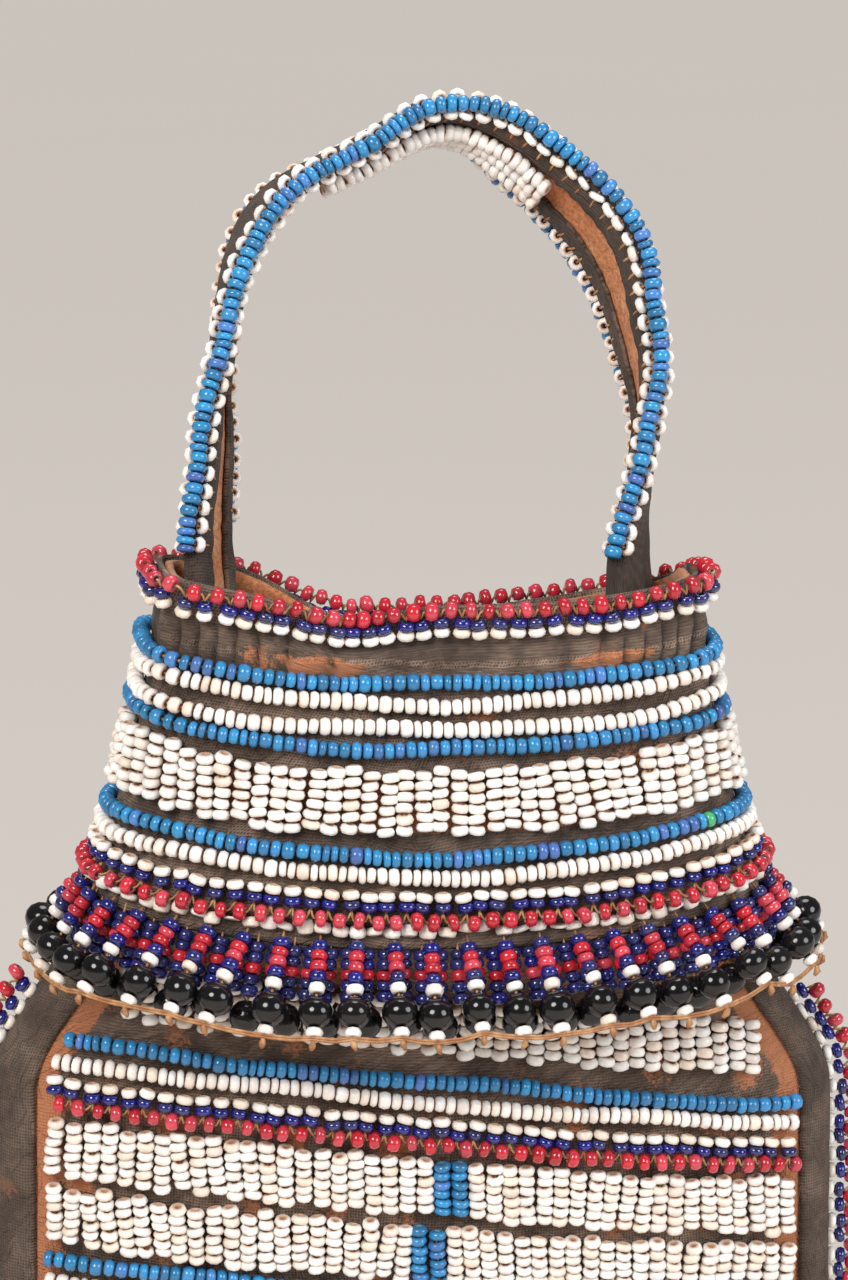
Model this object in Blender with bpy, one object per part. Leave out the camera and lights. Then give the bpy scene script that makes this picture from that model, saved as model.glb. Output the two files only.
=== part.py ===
"""Beaded tobacco bag: a leather bag covered in dark cloth, with a stiff strap handle, a flared
neck, a fringe of large black beads round the neck's hem, and a flat pouch below.

Run with: blender --background --python part.py
Metres, +Z up. The front faces -Y. The origin is the hanging point, inside the handle's crown.
"""

import bisect
import math

import bmesh
import bpy
from mathutils import Vector

MM = 0.001
TINY = 1e-9

# Layers, counted outwards. Depths are measured down from the rim, offsets out from the cloth's face.
CLEARANCE = 0.3 * MM
FIELD_CLEARANCE = 0.5 * MM
CLOTH = 0.8 * MM
LEATHER = 1.2 * MM
LEATHER_FACE = -(CLOTH + CLEARANCE)

# Beads
BEAD = 2.9 * MM
BEAD_LENGTH = 1.85 * MM
STRUNG_HEIGHT = BEAD - CLEARANCE
STRUNG_CROWN = 0.3
BAND_COLUMN = 2.9 * MM
RIB_VALLEY = 0.45 * BEAD

# Neck
NECK_DROP = 53.0 * MM
NECK_LEVELS = (0.0, 5.0 * MM, 10.0 * MM, 24.0 * MM, 38.0 * MM, NECK_DROP)
RIM_HALF_WIDTH = 43.3 * MM
HEM_HALF_WIDTH = 55.3 * MM
RIM_HALF_DEPTH = 13.0 * MM
HEM_HALF_DEPTH = 24.0 * MM
WIDTH_GROWTH = 1.5
DEPTH_GROWTH = 1.2
RIM_SQUARENESS = 5.0
HEM_SQUARENESS = 2.4
MEAN_SQUARENESS = 3.0
ROUNDING_PACE = 1.5
NECK_SHIFT = 0.5 * MM
ROW_LIFT = 4.5 * MM
ROW_LEAN = 1.2 * MM
PINCH = 3.6 * MM
PINCH_PLACE = -10.0 * MM
PINCH_SPREAD = 17.0 * MM
PINCH_DROP = 24.0 * MM
RIM_DIP = 3.2 * MM
RIM_DIP_PLACE = -15.0 * MM
RIM_DIP_SPREAD = 9.0 * MM
RIM_DIP_DROP = 10.0 * MM
BACK_SAG = 4.6 * MM
BACK_SAG_START = -35.0 * MM
BACK_SAG_DROP = 10.0 * MM
BACK_PINCH = 3.6 * MM
BACK_PINCH_PLACE = 6.0 * MM
BACK_PINCH_SPREAD = 17.0 * MM
LINING_SETBACK = 0.8 * MM

# Depths of the neck's bead work at the front
RIM_RED_DEPTH = -0.6 * MM
RIM_BLUE_DEPTH = 1.6 * MM
RIM_WHITE_DEPTH = 3.7 * MM
NECK_BLUE_DEPTHS = (11.9 * MM, 21.8 * MM, 38.4 * MM)
NECK_WHITE_DEPTHS = (14.8 * MM, 18.9 * MM, 41.3 * MM)
NECK_BAND_DEPTHS = (25.2 * MM, 35.2 * MM)
NECK_EDGING_DEPTHS = (44.5 * MM, 46.5 * MM, 48.7 * MM)
NECK_LAST_WHITE_DEPTH = 50.7 * MM
EDGING_STEP = 1.7 * MM
NECK_EDGING_STAND = (BEAD, 1.15 * BEAD, 1.45 * BEAD)

# Fringe of strands, each ending in a large black bead
STRANDS = 44
STRAND_DROP = 11.4 * MM
STRAND_FLARE = 9.2 * MM
STRAND_RADIUS = 1.25 * MM
BLACK_BEAD = 5.4 * MM
BLACK_BEAD_PLACE = 0.72 * BLACK_BEAD
BLACK_BEAD_RADIUS = 0.54 * BLACK_BEAD
FRINGE_DEPTH = NECK_DROP - 0.4 * MM
FRINGE_BAND_HEIGHT = 1.6 * MM
FRINGE_BAND_THICKNESS = 0.7 * BEAD
FRINGE_THREAD = 0.7 * MM
INNER_FRINGE_DROP = 6.6 * MM
INNER_FRINGE_TOP = 0.4 * MM
INNER_FRINGE_FLARE = 3.6 * MM
INNER_FRINGE_THICKNESS = 1.2 * MM

# Pouch
POUCH_DROP = 106.0 * MM
SHOULDER_HALF_WIDTH = 68.0 * MM
BOTTOM_HALF_WIDTH = 70.0 * MM
SHOULDER_DROP = 30.0 * MM
POUCH_HALF_DEPTH = 14.0 * MM
BOTTOM_HALF_DEPTH = 3.4 * MM
THINNING_DROP = 50.0 * MM
POUCH_SQUARENESS = 2.6
POUCH_SHIFT = -1.3 * MM
POUCH_SLOPE = math.tan(math.radians(3.0))
POUCH_LEVELS = (6.0 * MM, 13.0 * MM, 20.0 * MM, 29.0 * MM, THINNING_DROP, 78.0 * MM, 99.0 * MM)
ROW_SLOPE = math.tan(math.radians(5.0))
SLOPING_DEPTH = 112.0 * MM
LEVEL_DEPTH = 148.0 * MM
BOTTOM_SEAM = 3.0 * MM
BINDING = 0.8 * MM
BINDING_WIDTH = 5.5 * MM
FIELD_MARGIN = 1.4 * MM
SIDE_EDGING_WIDTH = 5.6 * MM
SIDE_EDGING_HALF_DEPTH = 0.45 * BEAD
SIDE_EDGING_TOP = 67.0 * MM

# Depths of the pouch's bead work at its middle
POUCH_TOP_BAND = (64.6 * MM, 73.0 * MM)
POUCH_BLOCK_TOPS = (78.2 * MM, 116.0 * MM)
BLOCK_WHITE_ROW = 3.6 * MM
BLOCK_EDGING = (6.9 * MM, 8.7 * MM, 10.6 * MM)
POUCH_EDGING_STAND = (BEAD, BEAD, 1.2 * BEAD)
BLOCK_BAND_TOPS = (13.4 * MM, 25.0 * MM)
BLOCK_BAND_BOTTOMS = (22.8 * MM, 34.6 * MM)
CHECK_PLACE = 3.4 * MM
CHECK_HALF_WIDTH = BAND_COLUMN

# Handle
HANDLE_LEAN = math.radians(20.0)
HANDLE_RISE = 79.4 * MM
HANDLE_HALF_WIDTH = 34.3 * MM
HANDLE_FOOT_HALF_WIDTH = 33.8 * MM
HANDLE_ARCH = 38.0 * MM
FOOT_SWAY = -0.4 * MM
ARCH_SWAY = 3.8 * MM
HANDLE_SEAT = 5.5 * MM
HANDLE_SETBACK = 0.3 * MM
STRAP_HALF_WIDTH = 7.0 * MM
STRAP_FACE = 1.7 * MM
STRAP_BACK = -2.3 * MM
STRAP_CLEARANCE = 0.5 * MM
HEM_REACH = 4.3 * MM
SEWN_HALF_WIDTH = 0.42 * BEAD
SEWN_HEIGHT = 0.6 * BEAD
FRONT_ROW_SPAN = (0.056, 0.957)
BACK_ROW_SPAN = (0.092, 0.905)
PATCH_SPAN = (0.38, 0.62)
PATCH_EDGES = (-3.2 * MM, 4.0 * MM)
HANDLE_SHIFT = (
    (0.0, 0.4 * MM),
    (0.1, 1.4 * MM),
    (0.18, 1.8 * MM),
    (0.26, -0.1 * MM),
    (0.32, -0.3 * MM),
    (0.43, -3.8 * MM),
    (0.52, -0.4 * MM),
    (0.62, -3.2 * MM),
    (0.74, -1.5 * MM),
    (0.84, 1.5 * MM),
    (1.0, 0.5 * MM),
)
HANDLE_TWIST = (
    (0.0, -34.0),
    (0.14, -20.0),
    (0.22, -4.0),
    (0.34, 14.0),
    (0.44, 9.0),
    (0.5, 2.0),
    (0.6, -20.0),
    (0.7, -26.0),
    (0.78, -12.0),
    (0.86, 6.0),
    (1.0, 36.0),
)

# Facets
RING_STATIONS = 24
BAND_SPLIT = 6
HANDLE_STATIONS = 26
STATION_MARGIN = 0.004
STRAND_SIDES = 4

COLOURS = {
    "leather": (0.42, 0.20, 0.10, 0.85),
    "cloth": (0.085, 0.060, 0.045, 0.95),
    "white beads": (0.80, 0.76, 0.70, 0.35),
    "light blue beads": (0.06, 0.27, 0.55, 0.30),
    "dark blue beads": (0.02, 0.03, 0.22, 0.25),
    "red beads": (0.55, 0.04, 0.06, 0.25),
    "black beads": (0.012, 0.012, 0.014, 0.18),
}


def mix(low, high, share):
    return low + (high - low) * share


def clamp(value):
    return min(1.0, max(0.0, value))


def ease(value):
    """Smooth step from 0 to 1."""
    value = clamp(value)
    return value * value * (3 - 2 * value)


def signed_power(value, power):
    return math.copysign(abs(value) ** power, value)


def even_turns(count):
    """Angles that share out the bag's outline evenly, from its right end round by the back."""
    fine = 900
    points = []
    for i in range(fine + 1):
        points.append(outline_point(math.pi / 2 * i / fine, HEM_HALF_WIDTH, HEM_HALF_DEPTH, MEAN_SQUARENESS))
    lengths = [0.0]
    for first, second in zip(points, points[1:]):
        lengths.append(lengths[-1] + (second - first).length)
    turns = []
    for i in range(count):
        quarters = 4 * i / count
        into = quarters % 2
        goal = lengths[-1] * (into if into <= 1 else 2 - into)
        turn = math.pi / 2 * bisect.bisect_left(lengths, goal - TINY) / fine
        turns.append(math.pi * (quarters // 2) + (turn if into <= 1 else math.pi - turn))
    return turns


def outline_point(turn, half_width, half_depth, squareness):
    power = 2 / squareness
    x = half_width * signed_power(math.cos(turn), power)
    y = half_depth * signed_power(math.sin(turn), power)
    return Vector((x, y, 0.0))


def bump(x, place, spread):
    return math.exp(-(((x - place) / spread) ** 2))


def true_neck_point(turn, depth, offset):
    """A point of the neck, with the rim's centre at the origin."""
    share = clamp(depth / NECK_DROP)
    half_width = mix(RIM_HALF_WIDTH, HEM_HALF_WIDTH, share**WIDTH_GROWTH) + offset
    half_depth = mix(RIM_HALF_DEPTH, HEM_HALF_DEPTH, share**DEPTH_GROWTH) + offset
    squareness = mix(RIM_SQUARENESS, HEM_SQUARENESS, ease(share * ROUNDING_PACE))
    point = outline_point(turn, half_width, half_depth, squareness)
    x, y = point.x, point.y
    inward = PINCH * bump(x, PINCH_PLACE, PINCH_SPREAD)
    sag = 0.0
    if y > 0:
        inward += BACK_PINCH * bump(x, BACK_PINCH_PLACE, BACK_PINCH_SPREAD)
        sag = BACK_SAG * y / half_depth * ease(1 - x / BACK_SAG_START) * (1 - clamp(depth / BACK_SAG_DROP) ** 2)
    y -= y / half_depth * inward * (1 - ease(depth / PINCH_DROP))
    across = x / half_width
    lift = ROW_LIFT * across**2 - ROW_LEAN * across
    dip = RIM_DIP * bump(x, RIM_DIP_PLACE, RIM_DIP_SPREAD) * (1 - ease(depth / RIM_DIP_DROP))
    return Vector((x + NECK_SHIFT, y, lift - dip - sag - depth))


def neck_point(turn, depth, offset):
    """A point on the neck's flat facets, which run straight from level to level."""
    for high, low in zip(NECK_LEVELS, NECK_LEVELS[1:]):
        if high < depth < low:
            first, second = true_neck_point(turn, high, offset), true_neck_point(turn, low, offset)
            return first.lerp(second, (depth - high) / (low - high))
    return true_neck_point(turn, depth, offset)


def true_pouch_size(depth):
    """Half width and half depth of the pouch's cloth face at a depth under the rim."""
    drop = depth - NECK_DROP
    side = mix(SHOULDER_HALF_WIDTH, BOTTOM_HALF_WIDTH, clamp(drop / POUCH_DROP))
    half_width = mix(HEM_HALF_WIDTH - CLOTH, side, ease(drop / SHOULDER_DROP))
    thinning = ease((drop - THINNING_DROP) / (POUCH_DROP - THINNING_DROP))
    return half_width, mix(POUCH_HALF_DEPTH, BOTTOM_HALF_DEPTH, thinning)


def pouch_depths():
    return [NECK_DROP + drop for drop in POUCH_LEVELS] + [NECK_DROP + POUCH_DROP]


def pouch_size(depth):
    """The size on the pouch's flat facets, which run straight from level to level."""
    depths = pouch_depths()
    depth = min(max(depth, depths[0]), depths[-1])
    for high, low in zip(depths, depths[1:]):
        if depth <= low:
            share = (depth - high) / (low - high)
            first, second = true_pouch_size(high), true_pouch_size(low)
            return mix(first[0], second[0], share), mix(first[1], second[1], share)
    return true_pouch_size(depths[-1])


def hung(x, y, depth):
    """A point of the pouch where it hangs, x from its middle, with its right side a little lower."""
    return Vector((x + POUCH_SHIFT, y, -depth - x * POUCH_SLOPE))


def pouch_point(turn, depth, offset):
    half_width, half_depth = pouch_size(depth)
    point = outline_point(turn, half_width + offset, half_depth + offset, POUCH_SQUARENESS)
    return hung(point.x, point.y, depth)


def row_slope(depth):
    return ROW_SLOPE * (1 - ease((depth - SLOPING_DEPTH) / (LEVEL_DEPTH - SLOPING_DEPTH)))


def front_corners(depth):
    """The corners of the pouch's front outline at a depth, from left to right."""
    half_width, half_depth = pouch_size(depth)
    turns = [turn for turn in RING_TURNS if turn >= math.pi - TINY] + [2 * math.pi]
    return [outline_point(turn, half_width, half_depth, POUCH_SQUARENESS) for turn in turns]


def field_point(x, depth, offset):
    """A point in front of the pouch, x from its middle, on the sloping row that has this depth there."""
    true_depth = depth + row_slope(depth) * x
    corners = front_corners(true_depth)
    for left, right in zip(corners, corners[1:]):
        if x <= right.x + TINY:
            face = mix(left.y, right.y, (x - left.x) / (right.x - left.x))
            return hung(x, face - offset, true_depth)
    return hung(x, corners[-1].y - offset, true_depth)


def field_ends(depth):
    """The left and right ends of the beaded field on a sloping row."""
    slant = row_slope(depth) * HEM_HALF_WIDTH
    margin = BINDING_WIDTH + FIELD_MARGIN
    return margin - pouch_size(depth - slant)[0], pouch_size(depth + slant)[0] - margin


def field_stations(low, high, depth):
    """The places along a row where the cloth under it bends, and the row's ends."""
    bends = []
    for i, corner in enumerate(front_corners(depth)):
        x = corner.x
        for _ in range(4):
            x = front_corners(depth + row_slope(depth) * x)[i].x
        if low + CLEARANCE < x < high - CLEARANCE:
            bends.append(x)
    return [low] + bends + [high]


def between(table, share):
    """The smoothly blended value of a table of shares and values."""
    for (start, low), (end, high) in zip(table, table[1:]):
        if share <= end:
            return mix(low, high, ease((share - start) / (end - start)))
    return table[-1][1]


def handle_plane(x, rise):
    """A point of the handle's leaning plane, with the rim's centre at the origin."""
    back = HANDLE_SETBACK + rise * math.sin(HANDLE_LEAN)
    sway = mix(FOOT_SWAY, ARCH_SWAY, ease(rise / (HANDLE_RISE - HANDLE_ARCH)))
    return Vector((x + sway, back, rise * math.cos(HANDLE_LEAN)))


def handle_centre(share):
    """The middle of the strap, from its left foot (0) over the crown to its right foot (1)."""
    spring = HANDLE_RISE - HANDLE_ARCH
    leg = HANDLE_SEAT + spring
    arch = math.pi * (HANDLE_HALF_WIDTH + HANDLE_ARCH) / 2
    length = share * (2 * leg + arch)
    shift = between(HANDLE_SHIFT, share)
    if leg <= length <= leg + arch:
        angle = (length - leg) / arch * math.pi
        x = -(HANDLE_HALF_WIDTH + shift) * math.cos(angle)
        return handle_plane(x, spring + (HANDLE_ARCH + shift) * math.sin(angle))
    side = -1 if length < leg else 1
    rise = min(length, 2 * leg + arch - length) - HANDLE_SEAT
    x = mix(HANDLE_FOOT_HALF_WIDTH, HANDLE_HALF_WIDTH, ease(rise / spring)) + shift
    return handle_plane(side * x, rise)


def strap_point(share, across, out):
    """A point of the strap: across its width towards the back, and out from its middle."""
    step = 0.002
    low, high = max(0.0, share - step), min(1.0, share + step)
    along = (handle_centre(high) - handle_centre(low)).normalized()
    back = Vector((0.0, math.cos(HANDLE_LEAN), -math.sin(HANDLE_LEAN)))
    outward = along.cross(back)
    twist = math.radians(between(HANDLE_TWIST, share))
    width = back * math.cos(twist) + outward * math.sin(twist)
    normal = outward * math.cos(twist) - back * math.sin(twist)
    return handle_centre(share) + width * across + normal * out


RIM_CENTRE = -strap_point(0.5, 0.0, STRAP_BACK)


def make_material(name):
    red, green, blue, roughness = COLOURS[name]
    material = bpy.data.materials.new(name)
    material.use_nodes = True
    shader = material.node_tree.nodes["Principled BSDF"]
    shader.inputs["Base Color"].default_value = (red, green, blue, 1.0)
    shader.inputs["Roughness"].default_value = roughness
    shader.inputs["Metallic"].default_value = 0.0
    return material


def add_object(name, points, faces, material, visible=True):
    """One closed mesh object under the bag's frame, its faces turned outwards."""
    mesh = bpy.data.meshes.new(name)
    mesh.from_pydata([tuple(point) for point in points], [], faces)
    work = bmesh.new()
    work.from_mesh(mesh)
    bmesh.ops.recalc_face_normals(work, faces=work.faces)
    work.to_mesh(mesh)
    work.free()
    mesh.shade_smooth()
    mesh.set_sharp_from_angle(angle=math.radians(50))
    mesh.materials.append(MATERIALS[material])
    obj = bpy.data.objects.new(name, mesh)
    bpy.context.scene.collection.objects.link(obj)
    obj.parent = BAG_FRAME
    if not visible:
        obj.hide_render = True
        obj.display_type = "WIRE"
    return obj


def strip(points, first, second, count):
    """Faces between two loops of points, split on the shorter diagonal, as the layers beside them are."""
    faces = []
    for j in range(count):
        k = (j + 1) % count
        a, b, c, d = first + j, first + k, second + k, second + j
        if (points[a] - points[c]).length < (points[b] - points[d]).length:
            faces += [(a, b, c), (a, c, d)]
        else:
            faces += [(a, b, d), (b, c, d)]
    return faces


def ring(name, loops, material):
    """A closed ring: its loops run round the section, and the last joins the first."""
    count = len(loops[0])
    points = [point for loop in loops for point in loop]
    faces = []
    for i in range(len(loops)):
        faces += strip(points, i * count, (i + 1) % len(loops) * count, count)
    return add_object(name, points, faces, material)


def sack(name, outer, inner, material):
    """An open-topped sack from its outer and inner loops, each listed from the top down."""
    count = len(outer[0])
    loops = list(reversed(inner)) + list(outer)
    points = [point for loop in loops for point in loop]
    faces = [tuple(range(count)), tuple(range(len(points) - count, len(points)))]
    for i in range(len(loops) - 1):
        faces += strip(points, i * count, (i + 1) * count, count)
    return add_object(name, points, faces, material)


def run(name, sections, material, visible=True):
    """A solid that runs through its sections, with both ends capped."""
    count = len(sections[0])
    points = [point for section in sections for point in section]
    faces = [tuple(range(count)), tuple(range(len(points) - count, len(points)))]
    for i in range(len(sections) - 1):
        faces += strip(points, i * count, (i + 1) * count, count)
    return add_object(name, points, faces, material, visible)


def neck_loop(depth, offset, turns):
    return [neck_point(turn, depth, offset) for turn in turns]


def neck_row(name, depth, material, height=STRUNG_HEIGHT, seat=CLEARANCE, thickness=BEAD):
    """A string of beads sewn round the neck, flat where it lies on the cloth."""
    top, bottom = depth - height / 2, depth + height / 2
    crown = height * STRUNG_CROWN
    corners = (
        (top, seat),
        (depth - crown, seat + thickness),
        (depth + crown, seat + thickness),
        (bottom, seat),
    )
    ring(name, [neck_loop(deep, offset, RING_TURNS) for deep, offset in corners], material)


def tube_wall(name, top, face, thickness, material):
    """The neck's cloth or leather, a tube open at both ends."""
    depths = [top] + list(NECK_LEVELS[1:])
    outer = [neck_loop(depth, face, RING_TURNS) for depth in depths]
    inner = [neck_loop(depth, face - thickness, RING_TURNS) for depth in reversed(depths)]
    ring(name, outer + inner, material)


def make_neck():
    tube_wall("neck_leather", LINING_SETBACK, LEATHER_FACE, LEATHER, "leather")
    tube_wall("neck_cloth", 0.0, 0.0, CLOTH, "cloth")
    edging = dict(height=EDGING_STEP, thickness=BEAD - CLEARANCE)
    neck_row("rim_white_beads", RIM_WHITE_DEPTH, "white beads", **edging)
    neck_row("rim_blue_beads", RIM_BLUE_DEPTH, "dark blue beads", **edging)
    neck_row("rim_red_beads", RIM_RED_DEPTH, "red beads", **edging)
    for i, depth in enumerate(NECK_BLUE_DEPTHS):
        neck_row(f"neck_blue_row_{i + 1}", depth, "light blue beads")
    for i, depth in enumerate(NECK_WHITE_DEPTHS):
        neck_row(f"neck_white_row_{i + 1}", depth, "white beads")
    colours = ("white", "blue", "red")
    materials = ("white beads", "dark blue beads", "red beads")
    for colour, material, depth, thickness in zip(colours, materials, NECK_EDGING_DEPTHS, NECK_EDGING_STAND):
        neck_row(f"neck_edging_{colour}", depth, material, height=EDGING_STEP, thickness=thickness)
    lying = dict(height=EDGING_STEP, thickness=BEAD / 2)
    neck_row("neck_white_row_4", NECK_LAST_WHITE_DEPTH, "white beads", **lying)
    make_neck_band()


def make_neck_band():
    """The wide white band, whose ribs are its columns of beads."""
    top, bottom = NECK_BAND_DEPTHS
    count = len(RING_TURNS)

    def ribbed(depth, low, high):
        """Outer points on the straight runs between stations, rising at each column."""
        flat = neck_loop(depth, low, RING_TURNS)
        full = neck_loop(depth, high, RING_TURNS)
        loop = []
        for i in range(count):
            for j in range(BAND_SPLIT):
                share = j / BAND_SPLIT
                source = full if j % 2 else flat
                loop.append(source[i].lerp(source[(i + 1) % count], share))
        return loop

    valley = CLEARANCE + RIB_VALLEY
    points = []
    for depth in (top, bottom):
        points += neck_loop(depth, CLEARANCE, RING_TURNS)
        points += ribbed(depth, valley, CLEARANCE + BEAD)
    fine = count * BAND_SPLIT
    level = count + fine
    faces = []
    for i in range(count):
        k = (i + 1) % count
        faces.append((i, k, level + k, level + i))
    for i in range(fine):
        k = (i + 1) % fine
        faces.append((count + i, count + k, level + count + k, level + count + i))
    for start in (0, level):
        for i in range(count):
            first = start + count + i * BAND_SPLIT
            after = [start + count + (i * BAND_SPLIT + j) % fine for j in range(BAND_SPLIT + 1)]
            half = BAND_SPLIT // 2
            here, there = start + i, start + (i + 1) % count
            faces += [(here, after[j], after[j + 1]) for j in range(half)]
            faces.append((here, after[half], there))
            faces += [(there, after[j], after[j + 1]) for j in range(half, BAND_SPLIT)]
    add_object("neck_white_band", points, faces, "white beads")


def strand_turns(count, shift):
    turns = even_turns(count * 2)
    return [turns[2 * i + shift] for i in range(count)]


def strand_sections(turn):
    """A strand of the fringe, turned round its own axis, with its black bead near the end."""
    start = neck_point(turn, FRINGE_DEPTH, CLEARANCE + STRAND_RADIUS)
    end = neck_point(turn, FRINGE_DEPTH + STRAND_DROP, CLEARANCE + STRAND_RADIUS + STRAND_FLARE)
    axis = end - start
    length = axis.length
    side = axis.orthogonal().normalized()
    across = axis.normalized().cross(side)
    ball = length - BLACK_BEAD_PLACE
    profile = (
        (0.0, STRAND_RADIUS),
        (ball - BLACK_BEAD / 2, STRAND_RADIUS),
        (ball, BLACK_BEAD_RADIUS),
        (length + BEAD_LENGTH / 2, STRAND_RADIUS),
    )
    around = []
    for i in range(STRAND_SIDES):
        angle = 2 * math.pi * i / STRAND_SIDES
        around.append(side * math.cos(angle) + across * math.sin(angle))
    sections = []
    for along, radius in profile:
        centre = start + axis * (along / length)
        sections.append([centre + way * radius for way in around])
    return sections, end


def union(target, others):
    """Joins the other objects to the target as one solid, and keeps the target alone."""
    tools = bpy.data.collections.new(target.name + "_tools")
    bpy.context.scene.collection.children.link(tools)
    for obj in others:
        bpy.context.scene.collection.objects.unlink(obj)
        tools.objects.link(obj)
    modifier = target.modifiers.new("union", "BOOLEAN")
    modifier.operation = "UNION"
    modifier.operand_type = "COLLECTION"
    modifier.collection = tools
    modifier.solver = "EXACT"


def make_fringe():
    """The outer strands, held by a sewn band above and by one thread through their ends."""
    turns = strand_turns(STRANDS, 0)
    top, bottom = FRINGE_DEPTH - FRINGE_BAND_HEIGHT / 2, FRINGE_DEPTH + FRINGE_BAND_HEIGHT / 2
    face = CLEARANCE + FRINGE_BAND_THICKNESS
    corners = ((top, CLEARANCE), (top, face), (bottom, face), (bottom, CLEARANCE))
    band = ring("fringe", [neck_loop(deep, offset, turns) for deep, offset in corners], "black beads")
    strands, ends = [], []
    for i, turn in enumerate(turns):
        sections, end = strand_sections(turn)
        strands.append(run(f"strand_{i}", sections, "black beads", visible=False))
        ends.append(end)
    half = FRINGE_THREAD / 2
    shifts = (Vector((0, 0, half)), Vector((0, 0, -half)))
    loops = [[end + shifts[0] for end in ends], [end * (1 + half / HEM_HALF_WIDTH) for end in ends]]
    loops.append([end + shifts[1] for end in ends])
    thread = ring("fringe_thread", loops, "black beads")
    thread.hide_render = True
    thread.display_type = "WIRE"
    union(band, strands + [thread])


def make_inner_fringe():
    """The strands that lie behind, as one curtain between the outer strands and the pouch."""
    top = FRINGE_DEPTH + FRINGE_BAND_HEIGHT / 2 + CLEARANCE
    bottom = top + INNER_FRINGE_DROP
    corners = (
        (top, CLEARANCE),
        (top, CLEARANCE + INNER_FRINGE_TOP),
        (bottom, INNER_FRINGE_FLARE + INNER_FRINGE_THICKNESS),
        (bottom, INNER_FRINGE_FLARE),
    )
    ring("fringe_inner", [neck_loop(depth, offset, RING_TURNS) for depth, offset in corners], "black beads")


def pouch_loop(depth, offset):
    return [pouch_point(turn, depth, offset) for turn in RING_TURNS]


def make_pouch():
    """The leather sack, its cloth cover and the cloth bindings of its seams."""

    def wall(face, bottom):
        joined = neck_loop(NECK_DROP + CLEARANCE, face, RING_TURNS)
        return [joined] + [pouch_loop(depth, face) for depth in pouch_depths()[:-1] + [bottom]]

    floor = pouch_depths()[-1] - BINDING - CLEARANCE
    sack("pouch_cloth", wall(0.0, floor), wall(-CLOTH, floor - CLOTH), "cloth")
    leather_floor = floor - CLOTH - CLEARANCE
    outer = wall(LEATHER_FACE, leather_floor)
    inner = wall(LEATHER_FACE - LEATHER, leather_floor - BOTTOM_SEAM)
    sack("pouch_leather", outer, inner, "leather")
    make_bottom_binding(floor)
    make_side_bindings(floor - BINDING_WIDTH - CLEARANCE)
    make_side_edgings(floor - BINDING_WIDTH)


def make_bottom_binding(floor):
    """A folded strip of cloth over the bottom seam."""
    top = floor - BINDING_WIDTH
    face = CLEARANCE + BINDING
    outer = [pouch_loop(top, face), pouch_loop(floor + face, face)]
    inner = [pouch_loop(top, CLEARANCE), pouch_loop(floor + CLEARANCE, CLEARANCE)]
    sack("bottom_binding", outer, inner, "cloth")


def binding_corners(depth, side, offset):
    """Corners of a side binding's face, from the pouch's front over the seam to its back."""
    near, next_one = RING_TURNS[1], RING_TURNS[2]
    points = []
    for turn in (-next_one, -near, 0.0, near, next_one):
        points.append(pouch_point(turn if side > 0 else math.pi - turn, depth, offset))
    width = pouch_size(depth)[0]
    corner = outline_point(near, width, 1.0, POUCH_SQUARENESS).x
    after = outline_point(next_one, width, 1.0, POUCH_SQUARENESS).x
    share = clamp((corner - (width - BINDING_WIDTH)) / (corner - after))
    return [points[1].lerp(points[0], share)] + points[1:4] + [points[3].lerp(points[4], share)]


def make_side_bindings(bottom):
    depths = pouch_depths()[:-1] + [bottom]
    for side, word in ((-1, "left"), (1, "right")):
        sections = []
        for depth in depths:
            outer = binding_corners(depth, side, FIELD_CLEARANCE + BINDING)
            inner = binding_corners(depth, side, FIELD_CLEARANCE)
            sections.append(outer + inner[::-1])
        run(f"side_binding_{word}", sections, "cloth")


def make_side_edgings(bottom):
    """The looped bead edging that stands out from each side seam."""
    inside = [depth for depth in pouch_depths() if SIDE_EDGING_TOP < depth < bottom]
    depths = [SIDE_EDGING_TOP] + inside + [bottom]
    seat = FIELD_CLEARANCE + BINDING + CLEARANCE
    half = SIDE_EDGING_HALF_DEPTH
    for side, word in ((-1, "left"), (1, "right")):
        sections = []
        for depth in depths:
            half_width = pouch_size(depth)[0]
            near, far = side * (half_width + seat), side * (half_width + seat + SIDE_EDGING_WIDTH)
            corners = ((near, -half), (far, -half), (far, half), (near, half))
            sections.append([hung(x, y, depth) for x, y in corners])
        run(f"side_edging_{word}", sections, "white beads")


def field_row(name, depth, material, height=STRUNG_HEIGHT, thickness=BEAD):
    """A string of beads sewn across the pouch's front."""
    crown = height * STRUNG_CROWN
    corners = (
        (-height / 2, FIELD_CLEARANCE),
        (-crown, FIELD_CLEARANCE + thickness),
        (crown, FIELD_CLEARANCE + thickness),
        (height / 2, FIELD_CLEARANCE),
    )
    sections = []
    for x in field_stations(*field_ends(depth), depth):
        sections.append([field_point(x, depth + down, offset) for down, offset in corners])
    run(name, sections, material)


def field_band(name, depths, low, high, material, levels=1):
    """A wide band of bead columns over part of the field, ribbed column by column."""
    columns = max(1, round((high - low) / BAND_COLUMN))
    stations = field_stations(low, high, (depths[0] + depths[1]) / 2)

    def edge(depth):
        points = []
        for i in range(2 * columns + 1):
            x = mix(low, high, i / (2 * columns))
            points.append(field_point(x, depth, FIELD_CLEARANCE + (BEAD if i % 2 else RIB_VALLEY)))
        for x in reversed(stations):
            points.append(field_point(x, depth, FIELD_CLEARANCE))
        return points

    run(name, [edge(mix(depths[0], depths[1], i / levels)) for i in range(levels + 1)], material)


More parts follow.
